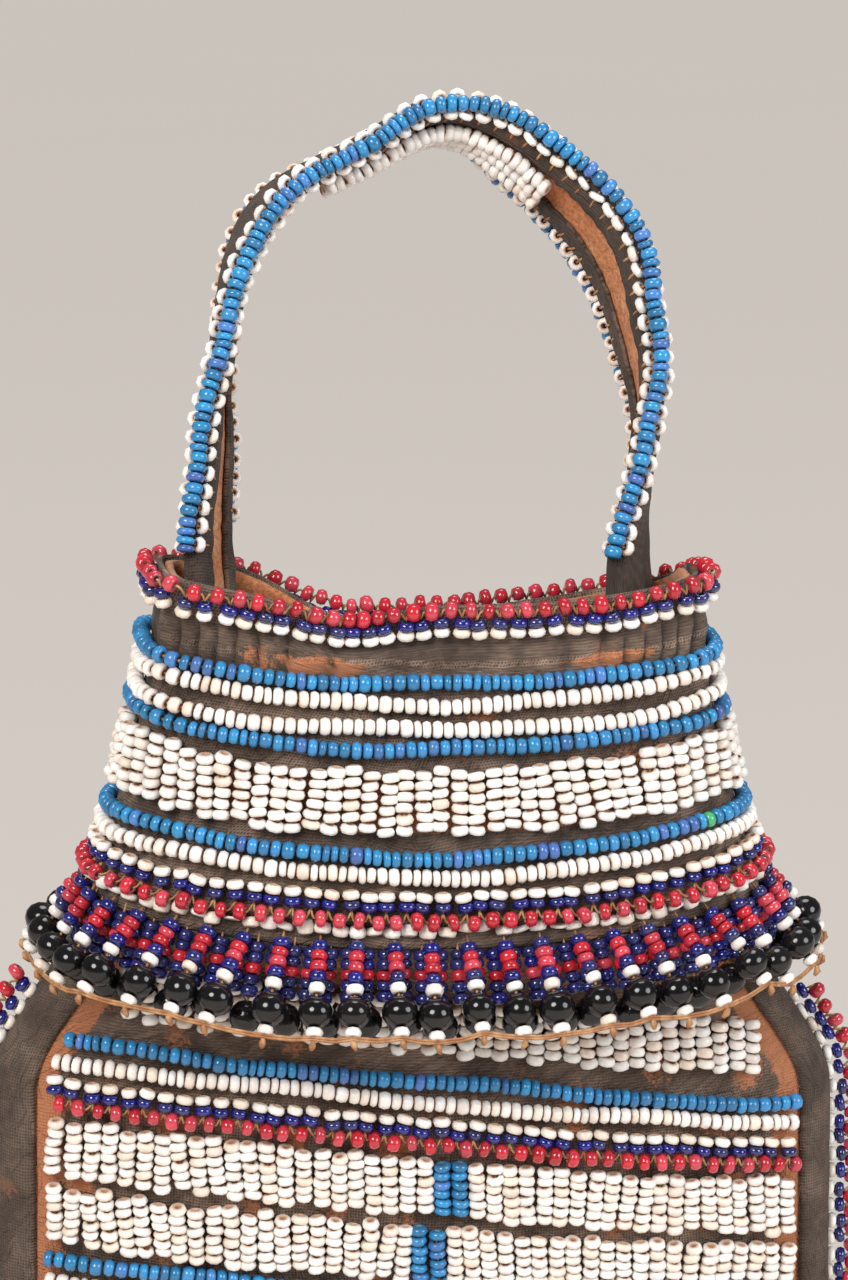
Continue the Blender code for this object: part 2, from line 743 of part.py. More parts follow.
def make_field():
    """The bead work on the pouch's front: a top band, then two blocks of rows and bands."""
    left, right = field_ends(POUCH_TOP_BAND[0])
    field_band("pouch_band_1", POUCH_TOP_BAND, left, right, "white beads", levels=2)
    number = 2
    colours = ("white", "blue", "red")
    materials = ("white beads", "dark blue beads", "red beads")
    for block, start in enumerate(POUCH_BLOCK_TOPS, 1):
        field_row(f"pouch_blue_row_{block}", start, "light blue beads")
        field_row(f"pouch_white_row_{block}", start + BLOCK_WHITE_ROW, "white beads")
        for colour, material, thickness, drop in zip(colours, materials, POUCH_EDGING_STAND, BLOCK_EDGING):
            name = f"pouch_edging_{colour}_{block}"
            field_row(name, start + drop, material, height=EDGING_STEP, thickness=thickness)
        for top, bottom in zip(BLOCK_BAND_TOPS, BLOCK_BAND_BOTTOMS):
            depths = (start + top, start + bottom)
            low, high = field_ends(depths[0])
            left, right = CHECK_PLACE - CHECK_HALF_WIDTH, CHECK_PLACE + CHECK_HALF_WIDTH
            name = f"pouch_band_{number}"
            field_band(f"{name}_left", depths, low, left - CLEARANCE, "white beads")
            field_band(f"{name}_check", depths, left, right, "light blue beads")
            field_band(f"{name}_right", depths, right + CLEARANCE, high, "white beads")
            number += 1


def strap_run(name, corners, span, material):
    """A run along the strap, which bends at the same stations as every other."""
    start, end = span
    shares = [start]
    for i in range(HANDLE_STATIONS + 1):
        if start + STATION_MARGIN < i / HANDLE_STATIONS < end - STATION_MARGIN:
            shares.append(i / HANDLE_STATIONS)
    shares.append(end)
    sections = [[strap_point(share, across, out) for across, out in corners] for share in shares]
    run(name, sections, material)


def make_handle():
    """The strap: leather folded in cloth, with beads along its edges and under its crown."""
    whole = (0.0, 1.0)
    fold = STRAP_HALF_WIDTH - CLOTH
    core = fold - STRAP_CLEARANCE
    out, back = STRAP_FACE - CLOTH, STRAP_BACK + CLOTH
    leather = (
        (-core, out - STRAP_CLEARANCE),
        (core, out - STRAP_CLEARANCE),
        (core, back + STRAP_CLEARANCE),
        (-core, back + STRAP_CLEARANCE),
    )
    strap_run("handle_leather", leather, whole, "leather")
    hem = STRAP_HALF_WIDTH - HEM_REACH
    cloth = (
        (-STRAP_HALF_WIDTH, STRAP_FACE),
        (STRAP_HALF_WIDTH, STRAP_FACE),
        (STRAP_HALF_WIDTH, STRAP_BACK),
        (hem, STRAP_BACK),
        (hem, back),
        (fold, back),
        (fold, out),
        (-fold, out),
        (-fold, back),
        (-hem, back),
        (-hem, STRAP_BACK),
        (-STRAP_HALF_WIDTH, STRAP_BACK),
    )
    strap_run("handle_cloth", cloth, whole, "cloth")
    make_handle_rows()


def make_handle_rows():
    """The blue strings on both edges, the white beads beside them and the white patch."""
    radius = BEAD / 2
    reach = STRAP_HALF_WIDTH + CLEARANCE + radius
    middle = (STRAP_FACE + STRAP_BACK) / 2
    white_place = STRAP_HALF_WIDTH - SEWN_HALF_WIDTH
    face, back = STRAP_FACE + STRAP_CLEARANCE, STRAP_BACK - STRAP_CLEARANCE
    outside = (face, face + SEWN_HEIGHT)
    inside = (back, back - SEWN_HEIGHT)
    for side, word, span in ((-1, "front", FRONT_ROW_SPAN), (1, "back", BACK_ROW_SPAN)):
        centre = side * reach
        round_section = (
            (centre - radius, middle),
            (centre, middle + radius),
            (centre + radius, middle),
            (centre, middle - radius),
        )
        strap_run(f"handle_blue_{word}", round_section, span, "light blue beads")
        for place, heights in (("outside", outside), ("inside", inside)):
            near, far = side * white_place - SEWN_HALF_WIDTH, side * white_place + SEWN_HALF_WIDTH
            section = ((near, heights[0]), (far, heights[0]), (far, heights[1]), (near, heights[1]))
            strap_run(f"handle_white_{word}_{place}", section, span, "white beads")
    near, far = PATCH_EDGES
    patch = ((near, inside[0]), (far, inside[0]), (far, inside[1]), (near, inside[1]))
    strap_run("handle_white_patch", patch, PATCH_SPAN, "white beads")


def clear_scene():
    for obj in list(bpy.data.objects):
        bpy.data.objects.remove(obj)


clear_scene()
MATERIALS = {name: make_material(name) for name in COLOURS}
RING_TURNS = even_turns(RING_STATIONS)
BAG_FRAME = bpy.data.objects.new("bag_frame", None)
bpy.context.scene.collection.objects.link(BAG_FRAME)
BAG_FRAME.location = RIM_CENTRE
make_handle()
make_neck()
make_fringe()
make_inner_fringe()
make_pouch()
make_field()
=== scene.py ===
"""Looks of the beaded tobacco bag: every bead, the worn cloth, the leather and the sinew threads.

Metres, +Z up, the front faces -Y. The origin is the hanging point inside the handle's crown.
"""
import logging
import math
import random
from dataclasses import dataclass, field
from enum import Enum
from typing import Callable, Iterable, Optional, Sequence

import bmesh
import bpy
import numpy as np
from mathutils import Matrix, Vector, noise


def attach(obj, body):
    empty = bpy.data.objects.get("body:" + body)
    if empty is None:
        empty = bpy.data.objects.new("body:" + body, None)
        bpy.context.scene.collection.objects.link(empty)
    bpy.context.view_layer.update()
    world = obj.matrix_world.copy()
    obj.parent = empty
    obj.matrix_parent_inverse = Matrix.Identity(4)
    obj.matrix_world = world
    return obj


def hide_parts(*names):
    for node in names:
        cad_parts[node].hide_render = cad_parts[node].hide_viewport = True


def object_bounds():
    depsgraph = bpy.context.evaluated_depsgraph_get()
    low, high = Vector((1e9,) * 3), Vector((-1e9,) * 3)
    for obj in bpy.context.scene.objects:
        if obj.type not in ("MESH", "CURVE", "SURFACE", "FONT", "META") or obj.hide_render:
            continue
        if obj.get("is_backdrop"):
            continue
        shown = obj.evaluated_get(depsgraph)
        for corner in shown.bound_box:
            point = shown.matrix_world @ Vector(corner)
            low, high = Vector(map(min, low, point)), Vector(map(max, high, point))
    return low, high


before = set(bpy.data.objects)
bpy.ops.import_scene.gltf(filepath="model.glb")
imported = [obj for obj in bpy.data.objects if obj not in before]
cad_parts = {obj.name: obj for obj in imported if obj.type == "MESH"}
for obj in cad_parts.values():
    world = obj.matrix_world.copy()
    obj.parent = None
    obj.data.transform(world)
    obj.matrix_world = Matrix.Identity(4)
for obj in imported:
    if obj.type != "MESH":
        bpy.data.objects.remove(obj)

CAD_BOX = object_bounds()
LOG = logging.getLogger("bag")
MM = 0.001
BODY = "root"
BEAD_ATTRIBUTE = "bead"
# The mask's red channel is wear through the cloth; its green channel darkens it, as painted shade on the
# neck.
WEAR_AND_SHADE_ATTRIBUTE = "wear"
RING_STEPS = 720
SLOW_DRIFT = 0.0105
QUICK_DRIFT = 0.0047

Pair = tuple[float, float]
Triple = tuple[float, float, float]
Node = bpy.types.Node
Tree = bpy.types.NodeTree


class BeadColour(Enum):
    """The glass colours of the beads, with the name of each one's material."""

    WHITE = "white_beads"
    SKY = "light_blue_beads"
    COBALT = "dark_blue_beads"
    RED = "red_beads"
    BLACK = "black_beads"


def mix(low: float, high: float, share: float) -> float:
    """Straight blend from low to high."""
    return low + (high - low) * share


def steps(low: float, high: float, count: int) -> list[float]:
    """Evenly spaced values from low to high."""
    return [mix(low, high, i / (count - 1)) for i in range(count)]


def circle(count: int) -> list[float]:
    """The angles of evenly spaced points of a ring."""
    return [2 * math.pi * i / count for i in range(count)]


def clamp(value: float) -> float:
    """The value held between 0 and 1."""
    return min(1.0, max(0.0, value))


def ease(value: float) -> float:
    """Smooth step from 0 to 1."""
    value = clamp(value)
    return value * value * (3 - 2 * value)


def bump(x: float, place: float, spread: float) -> float:
    """A smooth hill of height 1 at a place."""
    return math.exp(-(((x - place) / spread) ** 2))


def signed_power(value: float, power: float) -> float:
    """A power that keeps the value's sign."""
    return math.copysign(abs(value) ** power, value)


def outline_point(turn: float, half_width: float, half_depth: float, squareness: float) -> Vector:
    """A point of a rounded outline.

    Args:
        turn: The angle round the outline, 0 at its right end and a quarter turn at its back.
        half_width: Half the outline's size along X.
        half_depth: Half the outline's size along Y.
        squareness: 2 for an ellipse, and more for squarer corners.

    Returns:
        The point, with z at 0.
    """
    power = 2 / squareness
    x = half_width * signed_power(math.cos(turn), power)
    return Vector((x, half_depth * signed_power(math.sin(turn), power), 0.0))


def between(table: Sequence[Pair], share: float) -> float:
    """The smoothly blended value of a table of shares and values."""
    for (start, low), (end, high) in zip(table, table[1:]):
        if share <= end:
            return mix(low, high, ease((share - start) / (end - start)))
    return table[-1][1]


@dataclass(frozen=True)
class NeckForm:
    """The cloth face of the neck, from its rim down to its hem, with the rim's centre at the origin."""

    drop: float = 53.0 * MM
    rim_half_width: float = 43.3 * MM
    hem_half_width: float = 55.3 * MM
    rim_half_depth: float = 13.0 * MM
    hem_half_depth: float = 24.0 * MM
    rim_squareness: float = 5.0
    hem_squareness: float = 2.4
    shift: float = 0.5 * MM
    row_lift: float = 4.5 * MM
    row_lean: float = 1.2 * MM
    pinch: float = 3.6 * MM
    pinch_place: float = -10.0 * MM
    pinch_spread: float = 17.0 * MM
    pinch_drop: float = 24.0 * MM
    dip: float = 3.2 * MM
    dip_place: float = -15.0 * MM
    dip_spread: float = 9.0 * MM
    dip_drop: float = 10.0 * MM
    back_sag: float = 4.6 * MM
    back_sag_start: float = -35.0 * MM
    back_sag_drop: float = 10.0 * MM
    back_pinch: float = 3.6 * MM
    back_pinch_place: float = 6.0 * MM
    back_pinch_spread: float = 17.0 * MM

    def point(self, turn: float, depth: float, offset: float = 0.0) -> Vector:
        """A point of the neck.

        Args:
            turn: The angle round the neck.
            depth: How far below the rim.
            offset: How far out from the cloth.

        Returns:
            The point from the rim's centre.
        """
        share = clamp(depth / self.drop)
        half_width = mix(self.rim_half_width, self.hem_half_width, share**1.5) + offset
        half_depth = mix(self.rim_half_depth, self.hem_half_depth, share**1.2) + offset
        squareness = mix(self.rim_squareness, self.hem_squareness, ease(share * 1.5))
        point = outline_point(turn, half_width, half_depth, squareness)
        x, y = point.x, point.y
        inward = self.pinch * bump(x, self.pinch_place, self.pinch_spread)
        sag = 0.0
        if y > 0:
            inward += self.back_pinch * bump(x, self.back_pinch_place, self.back_pinch_spread)
            fall = 1 - clamp(depth / self.back_sag_drop) ** 2
            sag = self.back_sag * y / half_depth * ease(1 - x / self.back_sag_start) * fall
        y -= y / half_depth * inward * (1 - ease(depth / self.pinch_drop))
        across = x / half_width
        lift = self.row_lift * across**2 - self.row_lean * across
        dip = self.dip * bump(x, self.dip_place, self.dip_spread) * (1 - ease(depth / self.dip_drop))
        return Vector((x + self.shift, y, lift - dip - sag - depth))


@dataclass(frozen=True)
class PouchForm:
    """The cloth face of the pouch, hung from the neck's hem."""

    neck: NeckForm = field(default_factory=NeckForm)
    drop: float = 106.0 * MM
    shoulder_half_width: float = 68.0 * MM
    bottom_half_width: float = 70.0 * MM
    shoulder_drop: float = 30.0 * MM
    half_depth: float = 14.0 * MM
    bottom_half_depth: float = 3.4 * MM
    thinning_drop: float = 50.0 * MM
    settle: float = 6.0 * MM
    squareness: float = 2.6
    shift: float = -1.3 * MM
    slope: float = math.tan(math.radians(3.0))
    row_slope: float = math.tan(math.radians(5.0))
    row_slope_start: float = 112.0 * MM
    row_slope_fade: float = 36.0 * MM
    cloth: float = 0.8 * MM

    def size(self, depth: float) -> Pair:
        """Half width and half depth at a depth under the rim."""
        drop = depth - self.neck.drop
        side = mix(self.shoulder_half_width, self.bottom_half_width, clamp(drop / self.drop))
        half_width = mix(self.neck.hem_half_width - self.cloth, side, ease(drop / self.shoulder_drop))
        thinning = ease((drop - self.thinning_drop) / (self.drop - self.thinning_drop))
        return half_width, mix(self.half_depth, self.bottom_half_depth, thinning)

    def hung(self, x: float, y: float, depth: float) -> Vector:
        """A point where the pouch hangs, its right side a little lower."""
        return Vector((x + self.shift, y, -depth - x * self.slope))

    def point(self, turn: float, depth: float, offset: float = 0.0) -> Vector:
        """A point of the pouch, blended into the neck's hem above its first level."""
        level = self.neck.drop + self.settle
        half_width, half_depth = self.size(max(depth, level))
        place = outline_point(turn, half_width + offset, half_depth + offset, self.squareness)
        low = self.hung(place.x, place.y, max(depth, level))
        if depth >= level:
            return low
        high = self.neck.point(turn, self.neck.drop, offset)
        return high.lerp(low, (depth - self.neck.drop) / self.settle)

    def slope_at(self, depth: float) -> float:
        """How far a row at this depth drops for each metre to the right."""
        return self.row_slope * (1 - ease((depth - self.row_slope_start) / self.row_slope_fade))

    def front(self, x: float, depth: float, offset: float = 0.0) -> Vector:
        """A point in front of the pouch.

        Args:
            x: The place across, from the pouch's middle.
            depth: The depth of the sloping row at the pouch's middle.
            offset: How far out from the cloth.

        Returns:
            The point from the rim's centre.
        """
        true_depth = depth + self.slope_at(depth) * x
        half_width, half_depth = self.size(true_depth)
        across = min(1.0, abs(x / half_width))
        y = half_depth * (1 - across**self.squareness) ** (1 / self.squareness)
        return self.hung(x, -y - offset, true_depth)


@dataclass(frozen=True)
class StrapForm:
    """The strap of the handle, from its left foot (0) over the crown to its right foot (1)."""

    lean: float = math.radians(20.0)
    rise: float = 79.4 * MM
    half_width: float = 34.3 * MM
    foot_half_width: float = 33.8 * MM
    arch: float = 38.0 * MM
    seat: float = 5.5 * MM
    setback: float = 0.3 * MM
    foot_sway: float = -0.4 * MM
    arch_sway: float = 3.8 * MM
    strap_half_width: float = 7.0 * MM
    face: float = 1.7 * MM
    back: float = -2.3 * MM
    shift: tuple[Pair, ...] = (
        (0.0, 0.4 * MM), (0.1, 1.4 * MM), (0.18, 1.8 * MM), (0.26, -0.1 * MM), (0.32, -0.3 * MM),
        (0.43, -3.8 * MM), (0.52, -0.4 * MM), (0.62, -3.2 * MM), (0.74, -1.5 * MM), (0.84, 1.5 * MM),
        (1.0, 0.5 * MM),
    )
    twist: tuple[Pair, ...] = (
        (0.0, -34.0), (0.14, -20.0), (0.22, -4.0), (0.34, 14.0), (0.44, 9.0), (0.5, 2.0),
        (0.6, -20.0), (0.7, -26.0), (0.78, -12.0), (0.86, 6.0), (1.0, 36.0),
    )

    def length(self) -> float:
        """The strap's length along its middle."""
        leg = self.seat + self.rise - self.arch
        return 2 * leg + math.pi * (self.half_width + self.arch) / 2

    def plane(self, x: float, rise: float) -> Vector:
        """A point of the handle's leaning plane."""
        back = self.setback + rise * math.sin(self.lean)
        sway = mix(self.foot_sway, self.arch_sway, ease(rise / (self.rise - self.arch)))
        return Vector((x + sway, back, rise * math.cos(self.lean)))

    def centre(self, share: float) -> Vector:
        """The middle of the strap at a share of its length."""
        spring = self.rise - self.arch
        leg = self.seat + spring
        arch = math.pi * (self.half_width + self.arch) / 2
        length = share * (2 * leg + arch)
        shift = between(self.shift, share)
        if leg <= length <= leg + arch:
            angle = (length - leg) / arch * math.pi
            x = -(self.half_width + shift) * math.cos(angle)
            return self.plane(x, spring + (self.arch + shift) * math.sin(angle))
        side = -1 if length < leg else 1
        rise = min(length, 2 * leg + arch - length) - self.seat
        x = mix(self.foot_half_width, self.half_width, ease(rise / spring)) + shift
        return self.plane(side * x, rise)

    def point(self, share: float, across: float, out: float) -> Vector:
        """A point of the strap.

        Args:
            share: The place along the strap.
            across: The place across its width, towards the back.
            out: How far out from its middle.

        Returns:
            The point from the rim's centre.
        """
        step = 0.002
        low, high = max(0.0, share - step), min(1.0, share + step)
        along = (self.centre(high) - self.centre(low)).normalized()
        back = Vector((0.0, math.cos(self.lean), -math.sin(self.lean)))
        outward = along.cross(back)
        twist = math.radians(between(self.twist, share))
        width = back * math.cos(twist) + outward * math.sin(twist)
        normal = outward * math.cos(twist) - back * math.sin(twist)
        return self.centre(share) + width * across + normal * out


STRAP = StrapForm()
RIM_CENTRE = -STRAP.point(0.5, 0.0, STRAP.back)


# Node groups and finishes


class GroupBuilder:
    """A shader node group under construction."""

    def __init__(self, name: str) -> None:
        """Starts an empty group.

        Args:
            name: The group's name.
        """
        self.tree = bpy.data.node_groups.new(name, "ShaderNodeTree")
        self.inside: Optional[Node] = None
        self.outside: Optional[Node] = None

    def socket(self, name: str, kind: str, default: object = None, output: bool = False) -> None:
        """Adds a named socket.

        Args:
            name: The socket's name.
            kind: Float, Color or Vector.
            default: The value of an input that nothing is linked to.
            output: True for an output.
        """
        direction = "OUTPUT" if output else "INPUT"
        made = self.tree.interface.new_socket(name, in_out=direction, socket_type=f"NodeSocket{kind}")
        if default is not None:
            made.default_value = default

    def ends(self) -> None:
        """Places the group's input and output nodes."""
        self.inside = self.tree.nodes.new("NodeGroupInput")
        self.outside = self.tree.nodes.new("NodeGroupOutput")


def fill(node: Node, **values: object) -> None:
    """Sets a node's properties and inputs, and links the inputs that are given a socket.

    Args:
        node: The node.
        values: Properties by name, and inputs by name with spaces as underscores.
    """
    for name, value in values.items():
        socket = name.replace("_", " ")
        if hasattr(node, name):
            setattr(node, name, value)
        elif isinstance(value, bpy.types.NodeSocket):
            node.id_data.links.new(value, node.inputs[socket])
        else:
            node.inputs[socket].default_value = value


def place(tree: Tree, kind: str, **values: object) -> Node:
    """Adds a node and fills it.

    Args:
        tree: The tree that gets the node.
        kind: The node's type, without its ShaderNode prefix.
        values: What fill takes.

    Returns:
        The node.
    """
    node = tree.nodes.new(f"ShaderNode{kind}")
    fill(node, **values)
    return node


def math_node(tree: Tree, operation: str, first: object, second: object = None) -> object:
    """Adds a Math node.

    Args:
        tree: The tree that gets the node.
        operation: The operation's name in Blender.
        first: A socket or a number.
        second: A socket or a number, where the operation has two.

    Returns:
        The node's output socket.
    """
    node = tree.nodes.new("ShaderNodeMath")
    node.operation = operation
    for i, value in enumerate((first, second)):
        if value is None:
            continue
        if isinstance(value, (int, float)):
            node.inputs[i].default_value = value
        else:
            tree.links.new(value, node.inputs[i])
    return node.outputs[0]


def blend_colours(tree: Tree, share: object, first: object, second: object) -> object:
    """Mixes two colours.

    Args:
        tree: The tree that gets the node.
        share: A socket or number, 0 for the first colour and 1 for the second.
        first: A socket or a colour.
        second: A socket or a colour.

    Returns:
        The mixed colour's socket.
    """
    node = tree.nodes.new("ShaderNodeMix")
    node.data_type = "RGBA"
    for i, value in ((0, share), (6, first), (7, second)):
        if isinstance(value, (int, float, tuple)):
            node.inputs[i].default_value = value
        else:
            tree.links.new(value, node.inputs[i])
    return node.outputs[2]


def spread(tree: Tree, value: object, low: object, high: object) -> object:
    """Stretches a socket's range from low and high to 0 and 1, held at both ends."""
    return place(tree, "MapRange", Value=value, From_Min=low, From_Max=high).outputs["Result"]


def mix_shaders(tree: Tree, share: object, first: object, second: object) -> object:
    """The socket of two shaders, mixed by a share from 0 for the first to 1 for the second."""
    node = place(tree, "MixShader")
    for i, value in enumerate((share, first, second)):
        tree.links.new(value, node.inputs[i])
    return node.outputs[0]


def make_grime_group() -> Tree:
    """Soft patches of old dirt and fading.

    Returns:
        The group, with a mask of patches and a finer mask of specks.
    """
    group = GroupBuilder("grime")
    group.socket("Scale", "Float", 120.0)
    group.socket("Low", "Float", 0.42)
    group.socket("High", "Float", 0.66)
    group.socket("Patches", "Float", output=True)
    group.socket("Specks", "Float", output=True)
    group.ends()
    tree = group.tree
    given = group.inside.outputs
    where = place(tree, "TexCoord").outputs["Object"]
    patches = place(tree, "TexNoise", Vector=where, Scale=given["Scale"], Detail=4.0, Roughness=0.6)
    specks = place(tree, "TexNoise", Vector=where, Scale=1400.0, Detail=2.0, Roughness=0.7)
    stretched = spread(tree, patches.outputs["Fac"], given["Low"], given["High"])
    fill(group.outside, Patches=stretched, Specks=specks.outputs["Fac"])
    return tree


def make_weave_group() -> Tree:
    """Plain weave from the surface's own lengths, with uneven threads.

    Returns:
        The group, with the weave's height.
    """
    group = GroupBuilder("plain_weave")
    group.socket("Threads", "Float", 620.0)
    group.socket("Unevenness", "Float", 0.5)
    group.socket("Height", "Float", output=True)
    group.ends()
    tree = group.tree
    lengths = place(tree, "UVMap", uv_map="lengths").outputs["UV"]
    wander = place(tree, "TexNoise", Vector=lengths, Scale=260.0, Detail=2.0)
    shifted = place(tree, "VectorMath", operation="SCALE", Vector=wander.outputs["Color"], Scale=0.0009)
    moved = place(tree, "VectorMath", operation="ADD", Vector=lengths)
    tree.links.new(shifted.outputs[0], moved.inputs[1])
    heights = []
    for direction in ("X", "Y"):
        wave = place(tree, "TexWave", bands_direction=direction, Vector=moved.outputs[0], Distortion=0.0)
        fill(wave, Scale=group.inside.outputs["Threads"])
        heights.append(wave.outputs["Fac"])
    both = math_node(tree, "MULTIPLY", heights[0], heights[1])
    tops = math_node(tree, "MAXIMUM", heights[0], heights[1])
    woven = math_node(tree, "ADD", both, tops)
    rough = math_node(tree, "MULTIPLY", wander.outputs["Fac"], group.inside.outputs["Unevenness"])
    fill(group.outside, Height=math_node(tree, "ADD", woven, rough))
    return tree


def make_crease_group() -> Tree:
    """Creases that run along the rows, from stretched noise; the cloth sinks them in its bump and darkens
    them as painted shade.

    Returns:
        The group, with the creases' depth.
    """
    group = GroupBuilder("creases")
    group.socket("Along", "Float", 260.0)
    group.socket("Across", "Float", 200.0)
    group.socket("Depth", "Float", output=True)
    group.ends()
    tree = group.tree
    lengths = place(tree, "UVMap", uv_map="lengths")
    parts = place(tree, "SeparateXYZ", Vector=lengths.outputs["UV"])
    along = math_node(tree, "MULTIPLY", parts.outputs["X"], group.inside.outputs["Along"])
    across = math_node(tree, "MULTIPLY", parts.outputs["Y"], group.inside.outputs["Across"])
    stretched = place(tree, "CombineXYZ", X=along, Y=across)
    folds = place(tree, "TexNoise", Scale=1.0, Detail=3.0, Roughness=0.55, Distortion=0.8)
    fill(folds, Vector=stretched.outputs[0])
    centred = math_node(tree, "SUBTRACT", folds.outputs["Fac"], 0.5)
    ridge = math_node(tree, "ABSOLUTE", centred)
    fill(group.outside, Depth=spread(tree, ridge, 0.06, 0.0))
    return tree


@dataclass(frozen=True)
class GlassFinish:
    """Opaque bead glass, each bead a little different, with painted shade at the ends round the thread
    holes and patches of dirt.
    """

    slot: str
    colour: Triple
    second: Triple
    # The colour and strength of the painted shade at the bead ends, which also carries patchy dirt.
    dirt_and_shade: Triple = (0.16, 0.085, 0.04)
    dirt_and_shade_amount: float = 0.6
    roughness: float = 0.22
    coat: float = 0.3
    core: Optional[Triple] = None
    odd: Optional[Triple] = None
    variety: float = 0.2
    subsurface: float = 0.0

    def make(self, groups: dict[str, Tree]) -> bpy.types.Material:
        """Makes the material.

        Args:
            groups: The shared node groups by name.

        Returns:
            The material.
        """
        material, tree, shader = start_material(self.slot)
        tone = place(tree, "Attribute", attribute_name=BEAD_ATTRIBUTE)
        parts = place(tree, "SeparateColor", Color=tone.outputs["Color"])
        colour = blend_colours(tree, parts.outputs["Green"], (*self.colour, 1.0), (*self.second, 1.0))
        if self.odd is not None:
            colour = blend_colours(tree, tone.outputs["Alpha"], (*self.odd, 1.0), colour)
        brightness = place(tree, "MapRange", Value=parts.outputs["Red"])
        fill(brightness, To_Min=1 - self.variety, To_Max=1 + self.variety)
        light = place(tree, "HueSaturation", Value=brightness.outputs["Result"], Color=colour)
        colour = light.outputs["Color"]
        if self.core is not None:
            inner = spread(tree, parts.outputs["Blue"], 0.8, 0.95)
            colour = blend_colours(tree, inner, colour, (*self.core, 1.0))
        grime = place(tree, "Group", node_tree=groups["grime"], Scale=420.0)
        # Painted shade: the ends round the thread hole, where neighbouring beads meet, are darkened; the
        # grime patches add real dirt.
        end_shade_mask = spread(tree, parts.outputs["Blue"], 0.35, 1.0)
        patchy = math_node(tree, "MULTIPLY", grime.outputs["Patches"], 0.3)
        shade_and_dirt_mask = math_node(tree, "ADD", end_shade_mask, patchy)
        shade_and_dirt_mask = math_node(tree, "MULTIPLY", shade_and_dirt_mask, self.dirt_and_shade_amount)
        shade_and_dirt_mask = math_node(tree, "MINIMUM", shade_and_dirt_mask, 0.9)
        colour = blend_colours(tree, shade_and_dirt_mask, colour, (*self.dirt_and_shade, 1.0))
        rough = math_node(tree, "MULTIPLY", shade_and_dirt_mask, 0.5)
        rough = math_node(tree, "ADD", rough, self.roughness)
        fill(shader, Base_Color=colour, Roughness=rough, Coat_Weight=self.coat, Coat_Roughness=0.08)
        fill(shader, Subsurface_Weight=self.subsurface, Subsurface_Radius=(0.0006, 0.0005, 0.0004))
        return material


@dataclass(frozen=True)
class ClothFinish:
    """Faded dark cotton, torn through to the leather where the wear mask says so, with painted shade in the
    weave's gaps and the creases, and darkened where the mask's green channel says so.
    """

    slot: str = "cloth"
    colour: Triple = (0.124, 0.080, 0.058)
    faded: Triple = (0.370, 0.255, 0.190)
    # The colour of the painted shade in the weave's gaps, the creases, the neck's pleats and by its hem,
    # and of the plain darkening of bindings and handle.
    dark: Triple = (0.026, 0.017, 0.012)
    under: Triple = (0.43, 0.165, 0.075)

    def make(self, groups: dict[str, Tree]) -> bpy.types.Material:
        """Makes the material.

        Args:
            groups: The shared node groups by name.

        Returns:
            The material.
        """
        material, tree, shader = start_material(self.slot)
        grime = place(tree, "Group", node_tree=groups["grime"], Scale=95.0)
        weave = place(tree, "Group", node_tree=groups["plain_weave"])
        colour = blend_colours(tree, grime.outputs["Patches"], (*self.colour, 1.0), (*self.faded, 1.0))
        # Painted shade: the gaps between the woven threads are darkened.
        gaps = spread(tree, weave.outputs["Height"], 1.3, 0.4)
        gaps = math_node(tree, "MULTIPLY", gaps, 0.75)
        colour = blend_colours(tree, gaps, colour, (*self.dark, 1.0))
        # Painted shade: the creases are darkened.
        creases = place(tree, "Group", node_tree=groups["creases"])
        dark = math_node(tree, "MULTIPLY", creases.outputs["Depth"], 0.26)
        colour = blend_colours(tree, dark, colour, (*self.dark, 1.0))
        worn = place(tree, "Attribute", attribute_name=WEAR_AND_SHADE_ATTRIBUTE)
        parts = place(tree, "SeparateColor", Color=worn.outputs["Color"])
        ragged = math_node(tree, "MULTIPLY", grime.outputs["Specks"], 0.5)
        torn = math_node(tree, "ADD", parts.outputs["Red"], ragged)
        torn = spread(tree, torn, 0.7, 0.8)
        colour = blend_colours(tree, torn, colour, (*self.under, 1.0))
        # Green: painted shade in the neck's pleats and by its hem, and a plain darkening of the bindings
        # and the handle.
        colour = blend_colours(tree, parts.outputs["Green"], colour, (*self.dark, 1.0))
        height = math_node(tree, "MULTIPLY", weave.outputs["Height"], 0.4)
        height = math_node(tree, "ADD", height, grime.outputs["Specks"])
        sunk = math_node(tree, "MULTIPLY", creases.outputs["Depth"], 1.3)
        height = math_node(tree, "SUBTRACT", height, sunk)
        relief = place(tree, "Bump", Height=height, Strength=0.8, Distance=0.0003)
        fill(shader, Base_Color=colour, Normal=relief.outputs["Normal"], Roughness=0.92)
        fill(shader, Sheen_Weight=0.04, Sheen_Roughness=0.5)
        return material


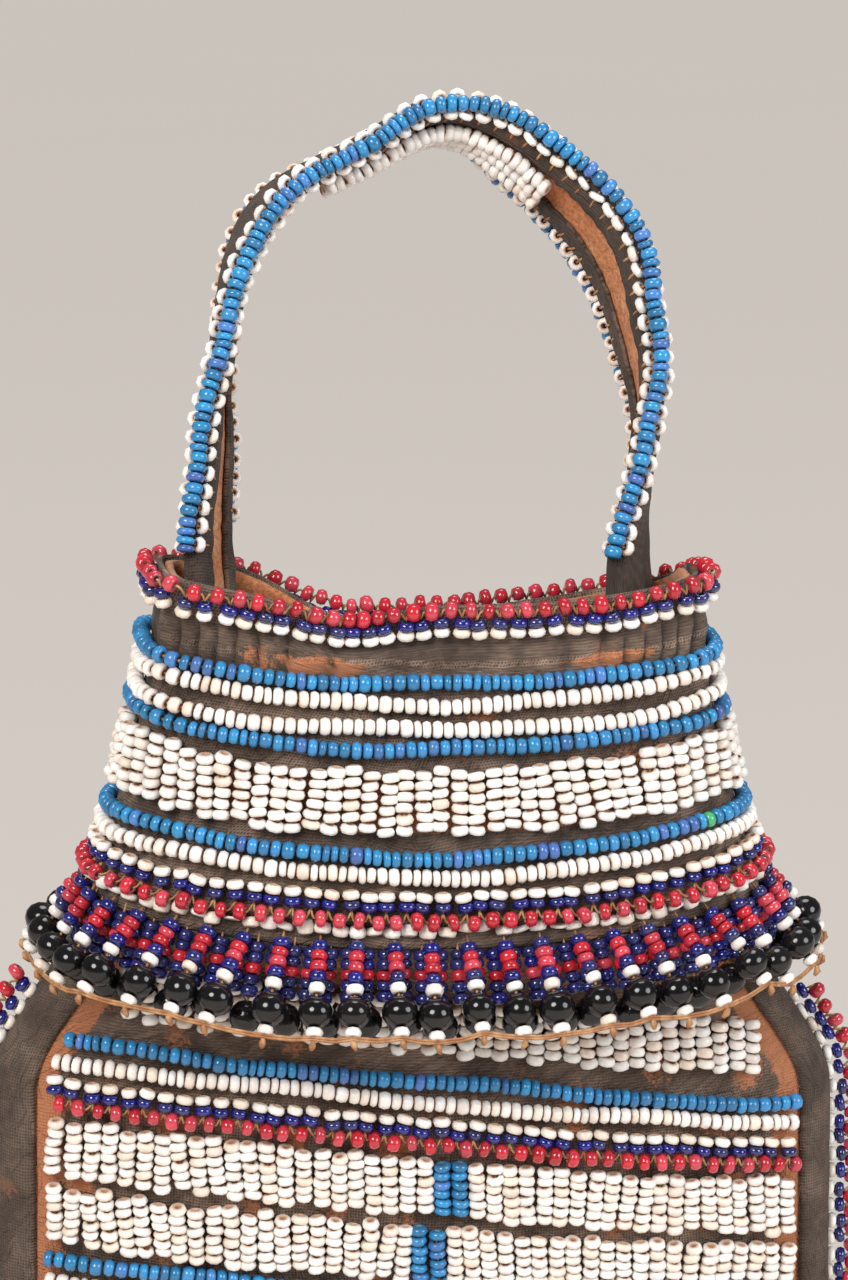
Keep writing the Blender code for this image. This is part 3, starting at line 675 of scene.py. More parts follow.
@dataclass(frozen=True)
class LeatherFinish:
    """Dry tan leather, flesh side out, with darker handled specks, or sinew thread without them."""

    name: str = "leather"
    colour: Triple = (0.50, 0.165, 0.055)
    pale: Triple = (0.60, 0.27, 0.12)
    dark: Optional[Triple] = (0.17, 0.065, 0.03)
    patch_scale: float = 160.0
    relief: Pair = (0.6, 0.0003)
    roughness: float = 0.9
    sheen: float = 0.15

    def make(self, groups: dict[str, Tree]) -> bpy.types.Material:
        """Makes the material.

        Args:
            groups: The shared node groups by name.

        Returns:
            The material.
        """
        material, tree, shader = start_material(self.name)
        grime = place(tree, "Group", node_tree=groups["grime"], Scale=self.patch_scale)
        colour = blend_colours(tree, grime.outputs["Patches"], (*self.colour, 1.0), (*self.pale, 1.0))
        if self.dark is not None:
            specks = spread(tree, grime.outputs["Specks"], 0.62, 0.35)
            specks = math_node(tree, "MULTIPLY", specks, 0.7)
            colour = blend_colours(tree, specks, colour, (*self.dark, 1.0))
        strength, distance = self.relief
        relief = place(tree, "Bump", Height=grime.outputs["Specks"], Strength=strength, Distance=distance)
        fill(shader, Base_Color=colour, Normal=relief.outputs["Normal"])
        fill(shader, Roughness=self.roughness, Sheen_Weight=self.sheen)
        return material


LEATHER = LeatherFinish()
SINEW = LeatherFinish("sinew", (0.30, 0.125, 0.05), (0.50, 0.28, 0.13), dark=None,
                      patch_scale=600.0, relief=(0.5, 0.00015), roughness=0.7, sheen=0.0)


def start_material(name: str) -> tuple[bpy.types.Material, Tree, Node]:
    """A new material with its tree and its Principled BSDF."""
    material = bpy.data.materials.new(name)
    material.use_nodes = True
    return material, material.node_tree, material.node_tree.nodes["Principled BSDF"]


class Workshop:
    """Keeps the materials and turns finished meshes into pieces of the bag."""

    def __init__(self) -> None:
        """Makes the shared groups and every finish."""
        self.groups = {
            "grime": make_grime_group(),
            "plain_weave": make_weave_group(),
            "creases": make_crease_group(),
        }
        # The colours given for the bead ends paint shade there as well as dirt.
        glass = (
            GlassFinish("white_beads", (0.84, 0.82, 0.80), (0.78, 0.68, 0.58), dirt_and_shade=(0.44, 0.22, 0.11),
                        dirt_and_shade_amount=0.85, roughness=0.28, coat=0.25, subsurface=0.15, variety=0.08),
            GlassFinish("light_blue_beads", (0.018, 0.215, 0.45), (0.06, 0.14, 0.42), variety=0.3,
                        dirt_and_shade=(0.05, 0.09, 0.13), core=(0.10, 0.32, 0.46), odd=(0.05, 0.30, 0.12)),
            GlassFinish("dark_blue_beads", (0.006, 0.009, 0.17), (0.020, 0.024, 0.11),
                        dirt_and_shade=(0.02, 0.02, 0.05), roughness=0.1, coat=0.7),
            GlassFinish("red_beads", (0.46, 0.010, 0.022), (0.55, 0.048, 0.078), dirt_and_shade=(0.14, 0.02, 0.02),
                        roughness=0.15, coat=0.5, core=(0.70, 0.52, 0.44)),
            GlassFinish("black_beads", (0.004, 0.004, 0.005), (0.007, 0.006, 0.006),
                        dirt_and_shade=(0.03, 0.027, 0.024), dirt_and_shade_amount=0.3, roughness=0.12, coat=0.0),
        )
        self.materials = {finish.slot: finish.make(self.groups) for finish in glass}
        self.materials["cloth"] = ClothFinish().make(self.groups)
        self.materials["leather"] = LEATHER.make(self.groups)
        self.materials["sinew"] = SINEW.make(self.groups)

    def deliver(
        self,
        name: str,
        points: np.ndarray,
        faces: Sequence[Sequence[int]],
        finish: str,
        nodes: Sequence[str] = (),
        lengths: Optional[np.ndarray] = None,
        colours: Optional[tuple[str, np.ndarray]] = None,
    ) -> None:
        """Makes one piece of the bag.

        Args:
            name: The piece's name.
            points: Its points from the rim's centre.
            faces: Its faces.
            finish: The name of its material.
            nodes: The CAD nodes that it stands for.
            lengths: For each point, its place on the surface in metres, for the weave.
            colours: The name and the values of a colour attribute on the points.
        """
        mesh = bpy.data.meshes.new(name)
        placed = np.asarray(points, dtype=float) + np.array(RIM_CENTRE)
        mesh.from_pydata(placed.tolist(), [], [tuple(face) for face in faces])
        if lengths is not None:
            layer = mesh.uv_layers.new(name="lengths")
            corners = np.empty(len(mesh.loops), dtype=np.int32)
            mesh.loops.foreach_get("vertex_index", corners)
            layer.data.foreach_set("uv", np.asarray(lengths, dtype=np.float32)[corners].ravel())
        if colours is not None:
            attribute = mesh.color_attributes.new(colours[0], "FLOAT_COLOR", "POINT")
            attribute.data.foreach_set("color", np.asarray(colours[1], dtype=np.float32).ravel())
        mesh.validate()
        mesh.shade_smooth()
        piece = bpy.data.objects.new(name, mesh)
        bpy.context.scene.collection.objects.link(piece)
        piece.data.materials.append(self.materials[finish])
        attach(piece, BODY)
        if nodes:
            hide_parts(*nodes)
        "leather" if finish == "sinew" else finish
        LOG.info("%s: %d faces", name, len(mesh.polygons))


# Beads and threads


@dataclass(frozen=True)
class BeadShape:
    """A drawn glass bead: a rounded ring with a thread hole, its axis along X, of length 1 and radius 1."""

    sides: int = 8
    arc: tuple[float, ...] = (-97.0, -46.0, 0.0, 46.0, 97.0)
    hole: float = 0.34
    waist: float = 0.5

    def template(self) -> tuple[np.ndarray, np.ndarray, np.ndarray]:
        """The ring's points, quads and, for each point, how near it is to the hole."""
        profile = []
        for angle in self.arc:
            turn = math.radians(angle)
            profile.append((0.5 * math.sin(turn), self.waist + (1 - self.waist) * math.cos(turn)))
        profile += [(0.36, self.hole), (-0.36, self.hole)]
        near = [clamp((0.92 - radius) / (0.92 - self.hole)) for _, radius in profile]
        points, ends, faces = [], [], []
        for i in range(self.sides):
            turn = 2 * math.pi * i / self.sides
            for (along, radius), shade in zip(profile, near):
                points.append((along, radius * math.cos(turn), radius * math.sin(turn)))
                ends.append(shade)
        count = len(profile)
        for i in range(self.sides):
            here, after = i * count, (i + 1) % self.sides * count
            for j in range(count):
                k = (j + 1) % count
                faces.append((here + j, after + j, after + k, here + k))
        return np.array(points), np.array(faces), np.array(ends)


SEED_SHAPE = BeadShape()
LARGE_ARC = (-80.0, -58.0, -35.0, -12.0, 12.0, 35.0, 58.0, 80.0)
LARGE_SHAPE = BeadShape(sides=16, arc=LARGE_ARC, hole=0.2, waist=0.02)


@dataclass
class BeadLot:
    """Beads of one colour that make one piece."""

    name: str
    colour: BeadColour
    nodes: tuple[str, ...] = ()
    shape: BeadShape = SEED_SHAPE
    second_share: float = 0.15
    odd_place: Optional[Vector] = None
    places: list[tuple[Vector, Vector, float, float, float]] = field(default_factory=list)

    def add(self, centre: Vector, axis: Vector, radius: float, length: float, spin: float = 0.0) -> None:
        """Adds one bead.

        Args:
            centre: The bead's middle.
            axis: The direction of its hole.
            radius: Its outer radius.
            length: Its length along the hole.
            spin: A turn about its own axis.
        """
        self.places.append((centre, axis, radius, length, spin))

    def deliver(self, shop: Workshop) -> None:
        """Makes the lot's piece.

        Args:
            shop: The workshop that finishes it.
        """
        if not self.places:
            return
        dice = random.Random(self.name)
        points, faces, ends = self.shape.template()
        count = len(points)
        all_points = np.empty((len(self.places) * count, 3))
        all_colours = np.ones((len(self.places) * count, 4))
        all_faces = np.empty((len(self.places) * len(faces), 4), dtype=int)
        for i, (centre, axis, radius, length, spin) in enumerate(self.places):
            turn = axis.to_track_quat("X", "Z").to_matrix() @ Matrix.Rotation(spin, 3, "X")
            sized = points * np.array((length, radius, radius * dice.uniform(0.95, 1.05)))
            rows = slice(i * count, (i + 1) * count)
            all_points[rows] = sized @ np.array(turn).T + np.array(centre)
            all_faces[i * len(faces) : (i + 1) * len(faces)] = faces + i * count
            all_colours[rows, 0] = dice.random()
            other = dice.random() < self.second_share
            all_colours[rows, 1] = dice.uniform(0.55, 1.0) if other else dice.uniform(0.0, 0.3)
            # Blue: nearness to the thread hole, which the glass darkens as painted shade at the bead's
            # ends.
            all_colours[rows, 2] = ends
        if self.odd_place is not None:
            gaps = [(place[0] - self.odd_place).length for place in self.places]
            odd = gaps.index(min(gaps))
            all_colours[odd * count : (odd + 1) * count, 3] = 0.0
        shop.deliver(self.name, all_points, all_faces, self.colour.value, self.nodes,
                     colours=(BEAD_ATTRIBUTE, all_colours))


class Course:
    """A line that beads or threads follow: points with the outward direction at each."""

    def __init__(self, points: Sequence[Vector], outward: Sequence[Vector], closed: bool = False) -> None:
        """Measures the line.

        Args:
            points: Close points along the line.
            outward: The direction away from the surface at each.
            closed: True where the last point meets the first.
        """
        self.points = list(points) + ([points[0]] if closed else [])
        self.outward = list(outward) + ([outward[0]] if closed else [])
        self.closed = closed
        self.lengths = [0.0]
        for first, second in zip(self.points, self.points[1:]):
            self.lengths.append(self.lengths[-1] + (second - first).length)

    @property
    def length(self) -> float:
        """The line's whole length."""
        return self.lengths[-1]

    def at(self, distance: float) -> tuple[Vector, Vector, Vector]:
        """The point, direction and outward direction at a distance along the line."""
        distance = distance % self.length if self.closed else min(max(distance, 0.0), self.length)
        i = min(max(int(np.searchsorted(self.lengths, distance)) - 1, 0), len(self.points) - 2)
        run = self.lengths[i + 1] - self.lengths[i]
        share = (distance - self.lengths[i]) / run if run else 0.0
        along = (self.points[i + 1] - self.points[i]).normalized()
        out = self.outward[i].lerp(self.outward[i + 1], share)
        out = (out - along * out.dot(along)).normalized()
        return self.points[i].lerp(self.points[i + 1], share), along, out


@dataclass
class ThreadWork:
    """Sinew threads, all in one piece."""

    name: str
    sides: int = 5
    points: list[Vector] = field(default_factory=list)
    faces: list[tuple[int, ...]] = field(default_factory=list)

    def add(self, line: Sequence[Vector], radius: float, closed: bool = False) -> None:
        """Adds one thread.

        Args:
            line: The points along it.
            radius: Its radius, which shrinks towards open ends.
            closed: True for a loop.
        """
        start = len(self.points)
        count = len(line)
        guide = Vector((0.31, 0.17, 0.93))
        for i, point in enumerate(line):
            before = line[i - 1] if i or closed else line[i]
            after = line[(i + 1) % count] if i < count - 1 or closed else line[i]
            along = (after - before).normalized()
            side = along.cross(guide).normalized()
            up = side.cross(along)
            end = not closed and i in (0, count - 1)
            size = radius * (0.55 if end else 1.0)
            for j in range(self.sides):
                turn = 2 * math.pi * j / self.sides
                self.points.append(point + side * size * math.cos(turn) + up * size * math.sin(turn))
        for i in range(count if closed else count - 1):
            here, after = start + i * self.sides, start + (i + 1) % count * self.sides
            for j in range(self.sides):
                k = (j + 1) % self.sides
                self.faces.append((here + j, here + k, after + k, after + j))
        if not closed:
            last = start + (count - 1) * self.sides
            self.faces.append(tuple(start + j for j in reversed(range(self.sides))))
            self.faces.append(tuple(last + j for j in range(self.sides)))

    def arc(self, start: Vector, end: Vector, rise: Vector, radius: float) -> None:
        """Adds a short stitch that rises between its ends."""
        line = []
        for i in range(6):
            share = i / 5
            line.append(start.lerp(end, share) + rise * math.sin(math.pi * share))
        self.add(line, radius)

    def deliver(self, shop: Workshop) -> None:
        """Makes the piece."""
        if self.points:
            shop.deliver(self.name, np.array([tuple(p) for p in self.points]), self.faces, "sinew")


@dataclass(frozen=True)
class BeadSizes:
    """The usual sizes of the bag's beads and threads."""

    radius: float = 1.46 * MM
    length: float = 1.73 * MM
    pitch: float = 1.66 * MM
    flat_length: float = 1.62 * MM
    loop_pitch: float = 2.95 * MM
    column_pitch: float = 2.84 * MM
    thread: float = 0.26 * MM
    large_radius: float = 2.85 * MM
    large_length: float = 5.2 * MM


SIZES = BeadSizes()
LOOP_WORDS = {BeadColour.WHITE: "white", BeadColour.COBALT: "blue", BeadColour.RED: "red"}


class Stringer:
    """Lays strings, columns and loops of beads along a course, a little unevenly as by hand."""

    def __init__(self, seed: str, threads: ThreadWork) -> None:
        """Sets up the random draws.

        Args:
            seed: Words that fix the draws.
            threads: The piece that takes the threads.
        """
        self.dice = random.Random(seed)
        self.threads = threads
        self.phase = self.dice.uniform(0.0, 6.28)

    def wander(self, distance: float, size: float) -> float:
        """A slow drift of the line from side to side."""
        slow = math.sin(distance / SLOW_DRIFT + self.phase)
        quick = math.sin(distance / QUICK_DRIFT + 2.1 * self.phase)
        return size * (slow + 0.6 * quick)

    def string(self, lot: BeadLot, course: Course, drift: float = 0.32 * MM, size: float = 1.0) -> None:
        """Beads threaded one after another along the course.

        Args:
            lot: The lot that gets the beads.
            course: The line on the cloth's face.
            drift: How far the string strays up and down.
            size: The beads' size beside the usual one.
        """
        distance = 0.0
        spare = 0.25 * SIZES.pitch
        lift = SIZES.radius * size + 0.25 * MM
        while distance < course.length - spare:
            length = SIZES.length * self.dice.choice((0.74, 0.88, 0.96, 1.0, 1.06, 1.25))
            middle = distance + length / 2
            point, along, out = course.at(middle)
            down = along.cross(out)
            radius = SIZES.radius * size * self.dice.uniform(0.91, 1.05)
            centre = point + out * (lift + self.dice.uniform(-0.12, 0.12) * MM)
            centre += down * (self.wander(middle, drift) + self.dice.uniform(-0.1, 0.1) * MM)
            tilt = along + down * self.dice.uniform(-0.1, 0.1) + out * self.dice.uniform(-0.07, 0.07)
            lot.add(centre, tilt.normalized(), radius, length, self.dice.uniform(0, 6.28))
            distance += length + self.dice.uniform(0.02, 0.1) * MM
        self.run_thread(course, lift, drift)

    def run_thread(self, course: Course, lift: float, drift: float) -> None:
        """The thread through a string of beads."""
        count = max(8, int(course.length / (1.6 * MM)))
        line = []
        for i in range(count if course.closed else count + 1):
            distance = course.length * i / count
            point, along, out = course.at(distance)
            line.append(point + out * lift + along.cross(out) * self.wander(distance, drift))
        self.threads.add(line, SIZES.thread, course.closed)

    def columns(
        self,
        lot: BeadLot,
        surface: Callable[[float, float], Vector],
        places: Iterable[float],
        depths: Pair,
        beads: int,
        unit: float = 1.0,
    ) -> None:
        """Upright columns of beads side by side.

        Args:
            lot: The lot that gets the beads.
            surface: Gives the cloth's point for a place and a depth.
            places: Where the columns stand.
            depths: The band's top and bottom.
            beads: How many beads a column has.
            unit: A metre in the places' own measure.
        """
        top, bottom = depths
        for spot in places:
            shift = self.dice.uniform(-0.16, 0.16) * MM
            lean = self.dice.uniform(-0.4, 0.4) * MM + self.wander(spot / unit, 0.7 * MM)
            high = top + self.dice.uniform(-0.7, 0.7) * MM
            low = bottom + self.dice.uniform(-0.7, 0.7) * MM
            step = (low - high) / beads
            line = []
            for i in range(beads):
                depth = high + step * (i + 0.5)
                point = surface(spot, depth)
                before, after = surface(spot, depth - 0.4 * MM), surface(spot, depth + 0.4 * MM)
                along = (after - before).normalized()
                near, far = surface(spot - 0.5 * MM * unit, depth), surface(spot + 0.5 * MM * unit, depth)
                beside = (far - near).normalized()
                out = beside.cross(-along).normalized()
                if out.dot(Vector((point.x * 0.2, point.y, 0.0))) < 0:
                    out = -out
                centre = point + out * (SIZES.radius + self.dice.uniform(0.05, 0.45) * MM)
                centre += beside * (shift + lean * (i / beads - 0.5) + self.dice.uniform(-0.16, 0.16) * MM)
                tilt = along + beside * self.dice.uniform(-0.2, 0.2) + out * self.dice.uniform(-0.3, 0.2)
                radius = SIZES.radius * self.dice.uniform(0.99, 1.1)
                lot.add(centre, tilt.normalized(), radius, abs(step) * self.dice.uniform(0.9, 1.02))
                line.append(centre)
            self.threads.add(line, SIZES.thread)

    def loops(
        self, lots: dict[BeadColour, BeadLot], course: Course, stand: float, flip: bool = False
    ) -> None:
        """Looped edging: a white and a dark blue bead on end, and a red one lying along the edge.

        Args:
            lots: The lots by colour.
            course: The line of the white beads on the cloth.
            stand: How far the red beads stand out from the cloth.
            flip: True where the edging climbs instead of hanging.
        """
        count = int(course.length / SIZES.loop_pitch)
        sign = -1.0 if flip else 1.0
        reds = []
        for i in range(count):
            distance = course.length * (i + 0.5) / count + self.dice.uniform(-0.2, 0.2) * MM
            point, along, out = course.at(distance)
            down = along.cross(out) * sign
            slack = self.dice.uniform(-0.25, 0.25) * MM
            sway = along * self.dice.uniform(-0.22, 0.22)
            hang = (down + out * self.dice.uniform(0.05, 0.2) + sway).normalized()
            white = point + out * (SIZES.radius + 0.3 * MM) + down * slack
            blue = white + hang * SIZES.flat_length * 1.02
            radius = SIZES.radius * self.dice.uniform(0.92, 1.05)
            lots[BeadColour.WHITE].add(white, hang, radius, SIZES.flat_length)
            radius = SIZES.radius * self.dice.uniform(0.93, 1.06)
            lots[BeadColour.COBALT].add(blue, hang, radius, SIZES.flat_length)
            red = point + out * (SIZES.radius + 0.3 * MM + stand)
            red += down * (slack + SIZES.flat_length * 2.25) + along * SIZES.loop_pitch / 2
            red += out * self.dice.uniform(-0.2, 0.3) * MM
            reds.append((red, along, out, down, blue + hang * SIZES.flat_length * 0.5))
        for i, (red, along, out, down, end) in enumerate(reds):
            tilt = along + down * self.dice.uniform(-0.25, 0.25) + out * self.dice.uniform(-0.15, 0.15)
            radius = SIZES.radius * self.dice.uniform(0.9, 1.1)
            length = SIZES.flat_length * self.dice.uniform(1.05, 1.4)
            lots[BeadColour.RED].add(red, tilt.normalized(), radius, length)
            last = i == len(reds) - 1
            after = reds[0][4] if last and course.closed else (None if last else reds[i + 1][4])
            reach = along * SIZES.flat_length * 0.5
            self.threads.arc(end, red - reach, down * 0.5 * MM, SIZES.thread * 0.8)
            if after is not None:
                self.threads.arc(red + reach, after, down * 0.5 * MM, SIZES.thread * 0.8)


# Sheets


@dataclass
class Sheet:
    """A closed shell from a grid of outer points and the same grid set inwards."""

    name: str
    finish: str
    nodes: tuple[str, ...]
    columns: int
    rows: int
    wraps: bool = True

    def deliver(
        self,
        shop: Workshop,
        outer: Callable[[int, int], Vector],
        inner: Callable[[int, int], Vector],
        wear: Optional[Callable[[int, int], float]] = None,
        caps: bool = False,
        folds: Optional[Callable[[int, int], float]] = None,
    ) -> None:
        """Makes the shell.

        Args:
            shop: The workshop that finishes it.
            outer: The outer point at a column and a row.
            inner: The inner point there.
            wear: How worn the cloth is there, from 0 to 1.
            caps: True to close the last row with a floor, as in a sack.
            folds: How much the cloth is darkened there, from 0 to 1, in the mask's green channel: painted
                shade on the neck, a plain darkening elsewhere.
        """
        wide, high = self.columns, self.rows
        grid_out = [[outer(i, j) for i in range(wide)] for j in range(high)]
        grid_in = [[inner(i, j) for i in range(wide)] for j in range(high)]
        points = [p for row in grid_out for p in row] + [p for row in grid_in for p in row]
        shift = wide * high
        faces = []
        span = wide if self.wraps else wide - 1
        for j in range(high - 1):
            for i in range(span):
                k = (i + 1) % wide
                a, b, c, d = j * wide + i, j * wide + k, (j + 1) * wide + k, (j + 1) * wide + i
                faces.append((a, d, c, b))
                faces.append((shift + a, shift + b, shift + c, shift + d))
        last = (high - 1) * wide
        for i in range(span):
            k = (i + 1) % wide
            faces.append((i, k, shift + k, shift + i))
            if not caps:
                faces.append((last + k, last + i, shift + last + i, shift + last + k))
        if caps:
            half = wide // 2
            for base, turned in ((last, False), (shift + last, True)):
                for i in range(half):
                    a, b = base + i, base + i + 1
                    c, d = base + (wide - i - 1) % wide, base + (wide - i) % wide
                    quad = (a, b, c, d) if i else (a, b, c)
                    quad = tuple(dict.fromkeys(quad))
                    if len(quad) > 2:
                        faces.append(quad if turned else quad[::-1])
        if not self.wraps:
            for j in range(high - 1):
                for i in (0, wide - 1):
                    a, b = j * wide + i, (j + 1) * wide + i
                    side = (a, shift + a, shift + b, b) if i == 0 else (a, b, shift + b, shift + a)
                    faces.append(side)
        lengths = np.zeros((len(points), 2))
        for j in range(high):
            run = 0.0
            for i in range(wide):
                if i:
                    run += (grid_out[j][i] - grid_out[j][i - 1]).length
                fall = (grid_out[j][i] - grid_out[0][i]).length
                lengths[j * wide + i] = lengths[shift + j * wide + i] = (run, fall)
        shade = np.zeros((len(points), 4))
        shade[:, 3] = 1.0
        if wear is not None:
            for j in range(high):
                for i in range(wide):
                    shade[j * wide + i, 0] = wear(i, j)
                    # Green: the darkening, painted shade where the neck passes it.
                    if folds is not None:
                        shade[j * wide + i, 1] = folds(i, j)
        placed = np.array([tuple(p) for p in points])
        colours = (WEAR_AND_SHADE_ATTRIBUTE, shade)
        shop.deliver(self.name, placed, faces, self.finish, self.nodes, lengths, colours)


def crumple(point: Vector, size: float, scale: float) -> float:
    """Soft folds of worn cloth at a point."""
    return size * noise.noise(point * scale)


@dataclass
class Tear:
    """A worn-through spot of the neck's cloth, by its place across and its depth."""

    x: float
    depth: float
    half_width: float
    half_height: float


@dataclass
class Neck:
    """The neck: leather lining, cloth cover and all its bead work."""

    form: NeckForm = field(default_factory=NeckForm)
    cloth: float = 0.8 * MM
    clearance: float = 0.3 * MM
    leather: float = 1.2 * MM
    lining_setback: float = 0.8 * MM
    rim_white_depth: float = 4.0 * MM
    blue_depths: tuple[float, ...] = (11.9 * MM, 21.8 * MM, 38.4 * MM)
    white_depths: tuple[float, ...] = (14.9 * MM, 18.9 * MM, 41.4 * MM)
    band: Pair = (25.0 * MM, 35.4 * MM)
    band_beads: int = 6
    edging_depth: float = 44.6 * MM
    edging_stand: float = 1.9 * MM
    rim_stand: float = 0.1 * MM
    pleat_height: float = 1.7 * MM
    pleat_depth: float = 9.2 * MM
    pleat_reach: float = 3.6 * MM
    last_white_band: Pair = (49.6 * MM, 51.4 * MM)
    last_white_sunk: float = 1.0 * MM
    shaded_depth: float = 52.5 * MM
    green_bead: Vector = Vector((43.7 * MM, -14.0 * MM, -36.5 * MM))
    tears: tuple[Tear, ...] = (
        Tear(-29.0 * MM, 9.6 * MM, 1.8 * MM, 1.0 * MM),
        Tear(-18.5 * MM, 10.0 * MM, 6.5 * MM, 1.4 * MM),
        Tear(-2.0 * MM, 10.3 * MM, 2.4 * MM, 0.9 * MM),
        Tear(27.0 * MM, 9.8 * MM, 7.0 * MM, 0.9 * MM),
        Tear(33.0 * MM, 5.0 * MM, 1.1 * MM, 0.5 * MM),
        Tear(8.0 * MM, 16.9 * MM, 3.0 * MM, 0.5 * MM),
    )

    def ring(self, depth: float, offset: float = 0.0) -> Course:
        """The line round the neck at a depth."""
        points, outward = [], []
        for turn in circle(RING_STEPS):
            point = self.form.point(turn, depth, offset)
            points.append(point)
            outward.append((self.form.point(turn, depth, offset + MM) - point).normalized())
        return Course(points, outward, closed=True)

    def pleat(self, turn: float, depth: float) -> float:
        """Pleats gathered in the bare band and soft folds elsewhere."""
        point = self.form.point(turn, depth)
        bare = bump(depth, self.pleat_depth, self.pleat_reach)
        fold = abs(math.sin(point.x * 760 + 2.2 * math.sin(point.x * 170) + depth * 90))
        pleats = (math.sqrt(fold) - 0.5) * self.pleat_height * bare
        return pleats + crumple(point, 0.4 * MM, 160.0) + crumple(point, 0.2 * MM, 420.0)

    def folds(self, turn: float, depth: float) -> float:
        """Painted shade in the pleats' valleys and below the shaded depth by the hem, with patchy darkening
        elsewhere, from 0 to 1.
        """
        point = self.form.point(turn, depth)
        bare = bump(depth, self.pleat_depth, self.pleat_reach)
        low = 1.0 - self.pleat(turn, depth) / (0.3 * self.pleat_height) * bare
        shade = 0.75 * clamp((depth - self.shaded_depth) / (2 * MM))
        return clamp(max(0.7 * low - 0.5 + 0.4 * noise.noise(point * 300.0), shade))

    def wear(self, turn: float, depth: float) -> float:
        """How worn through the cloth is, from 0 to 1."""
        point = self.form.point(turn, depth)
        if point.y > 0:
            return clamp(0.35 + 0.4 * noise.noise(point * 90.0))
        worn = clamp(0.25 + 0.35 * noise.noise(point * 110.0))
        if self.band[0] + 2.2 * MM < depth < self.band[1] - 0.6 * MM:
            worn = 0.75 + 0.3 * noise.noise(point * 260.0)
        for tear in self.tears:
            beside = (point.x - tear.x) / tear.half_width
            below = (depth - tear.depth) / tear.half_height
            reach = beside**2 + below**2
            worn = max(worn, 1.0 - 0.45 * reach + 0.5 * noise.noise(point * 520.0))
        return clamp(worn)

    def build(self, shop: Workshop) -> None:
        """Makes every piece of the neck.

        Args:
            shop: The workshop that finishes them.
        """
        wide, high = 360, 50
        turns = circle(wide)
        depths = [self.form.drop * j / (high - 1) for j in range(high)]
        face = -self.clearance - self.cloth
        Sheet("neck_cloth_cover", "cloth", ("neck_cloth",), wide, high).deliver(
            shop,
            lambda i, j: self.form.point(turns[i], depths[j], self.pleat(turns[i], depths[j])),
            lambda i, j: self.form.point(turns[i], depths[j], -self.cloth * 0.8),
            lambda i, j: self.wear(turns[i], depths[j]),
            # The folds paint shade in the pleats' valleys and by the hem.
            folds=lambda i, j: self.folds(turns[i], depths[j]),
        )
        rows = 30
        levels = steps(self.lining_setback, self.form.drop, rows)

        def inside(i: int, j: int) -> Vector:
            """The lining's inner face, softly rumpled."""
            flat = self.form.point(turns[3 * i], levels[j])
            offset = face - self.leather + crumple(flat, 0.3 * MM, 120.0)
            return self.form.point(turns[3 * i], levels[j], offset)

        Sheet("neck_lining", "leather", ("neck_leather",), wide // 3, rows).deliver(
            shop, lambda i, j: self.form.point(turns[3 * i], levels[j], face), inside
        )
        self.build_beads(shop)

    def build_beads(self, shop: Workshop) -> None:
        """Makes the rows, the white band and both edgings."""
        threads = ThreadWork("neck_threads")
        for i, depth in enumerate(self.blue_depths, 1):
            lot = BeadLot(f"neck_blue_beads_{i}", BeadColour.SKY, (f"neck_blue_row_{i}",))
            lot.odd_place = self.green_bead if i == len(self.blue_depths) else None
            Stringer(lot.name, threads).string(lot, self.ring(depth))
            lot.deliver(shop)
        for i, depth in enumerate(self.white_depths, 1):
            lot = BeadLot(f"neck_white_beads_{i}", BeadColour.WHITE, (f"neck_white_row_{i}",))
            Stringer(lot.name, threads).string(lot, self.ring(depth))
            lot.deliver(shop)
        lot = BeadLot("neck_white_beads_4", BeadColour.WHITE, ("neck_white_row_4",), second_share=0.5)
        self.stand_columns(lot, threads, self.last_white_band, 1, self.last_white_sunk)
        lot.deliver(shop)
        lot = BeadLot("neck_white_band_beads", BeadColour.WHITE, ("neck_white_band",))
        self.stand_columns(lot, threads, self.band, self.band_beads)
        lot.deliver(shop)
        self.build_edging(shop, threads, "rim", self.ring(self.rim_white_depth), self.rim_stand, True)
        self.build_edging(shop, threads, "neck", self.ring(self.edging_depth), self.edging_stand, False)
        threads.deliver(shop)

    def stand_columns(
        self, lot: BeadLot, threads: ThreadWork, band: Pair, beads: int, sunk: float = 0.0
    ) -> None:
        """Stands columns of beads all round the neck.

        Args:
            lot: The lot that gets the beads.
            threads: The piece that takes the threads.
            band: The top and the bottom of the columns.
            beads: The number of beads in a column.
            sunk: How far the beads sink towards the cloth.
        """
        top, bottom = (self.ring(depth, -sunk) for depth in band)
        count = int((top.length + bottom.length) / 2 / SIZES.column_pitch)

        def surface(share: float, depth: float) -> Vector:
            """The cloth's point at a share of the way round."""
            high, low = top.at(share * top.length)[0], bottom.at(share * bottom.length)[0]
            return high.lerp(low, (depth - band[0]) / (band[1] - band[0]))

        places = [(i + 0.5) / count for i in range(count)]
        Stringer(lot.name, threads).columns(lot, surface, places, band, beads, 1 / top.length)

    def build_edging(self, shop: Workshop, threads: ThreadWork, word: str, course: Course, stand: float,
                     climbs: bool) -> None:
        """Makes a looped edging of three colours.

        Args:
            shop: The workshop that finishes it.
            threads: The piece that takes the threads.
            word: Rim or neck.
            course: The line of the white beads.
            stand: How far the red beads stand out.
            climbs: True where the edging climbs from the white beads.
        """
        lots = {}
        for colour, name in LOOP_WORDS.items():
            node = f"rim_{name}_beads" if climbs else f"neck_edging_{name}"
            lots[colour] = BeadLot(f"{word}_loop_{colour.name.lower()}", colour, (node,), second_share=0.4)
        Stringer(f"{word}_loops", threads).loops(lots, course, stand, climbs)
        for lot in lots.values():
            lot.deliver(shop)


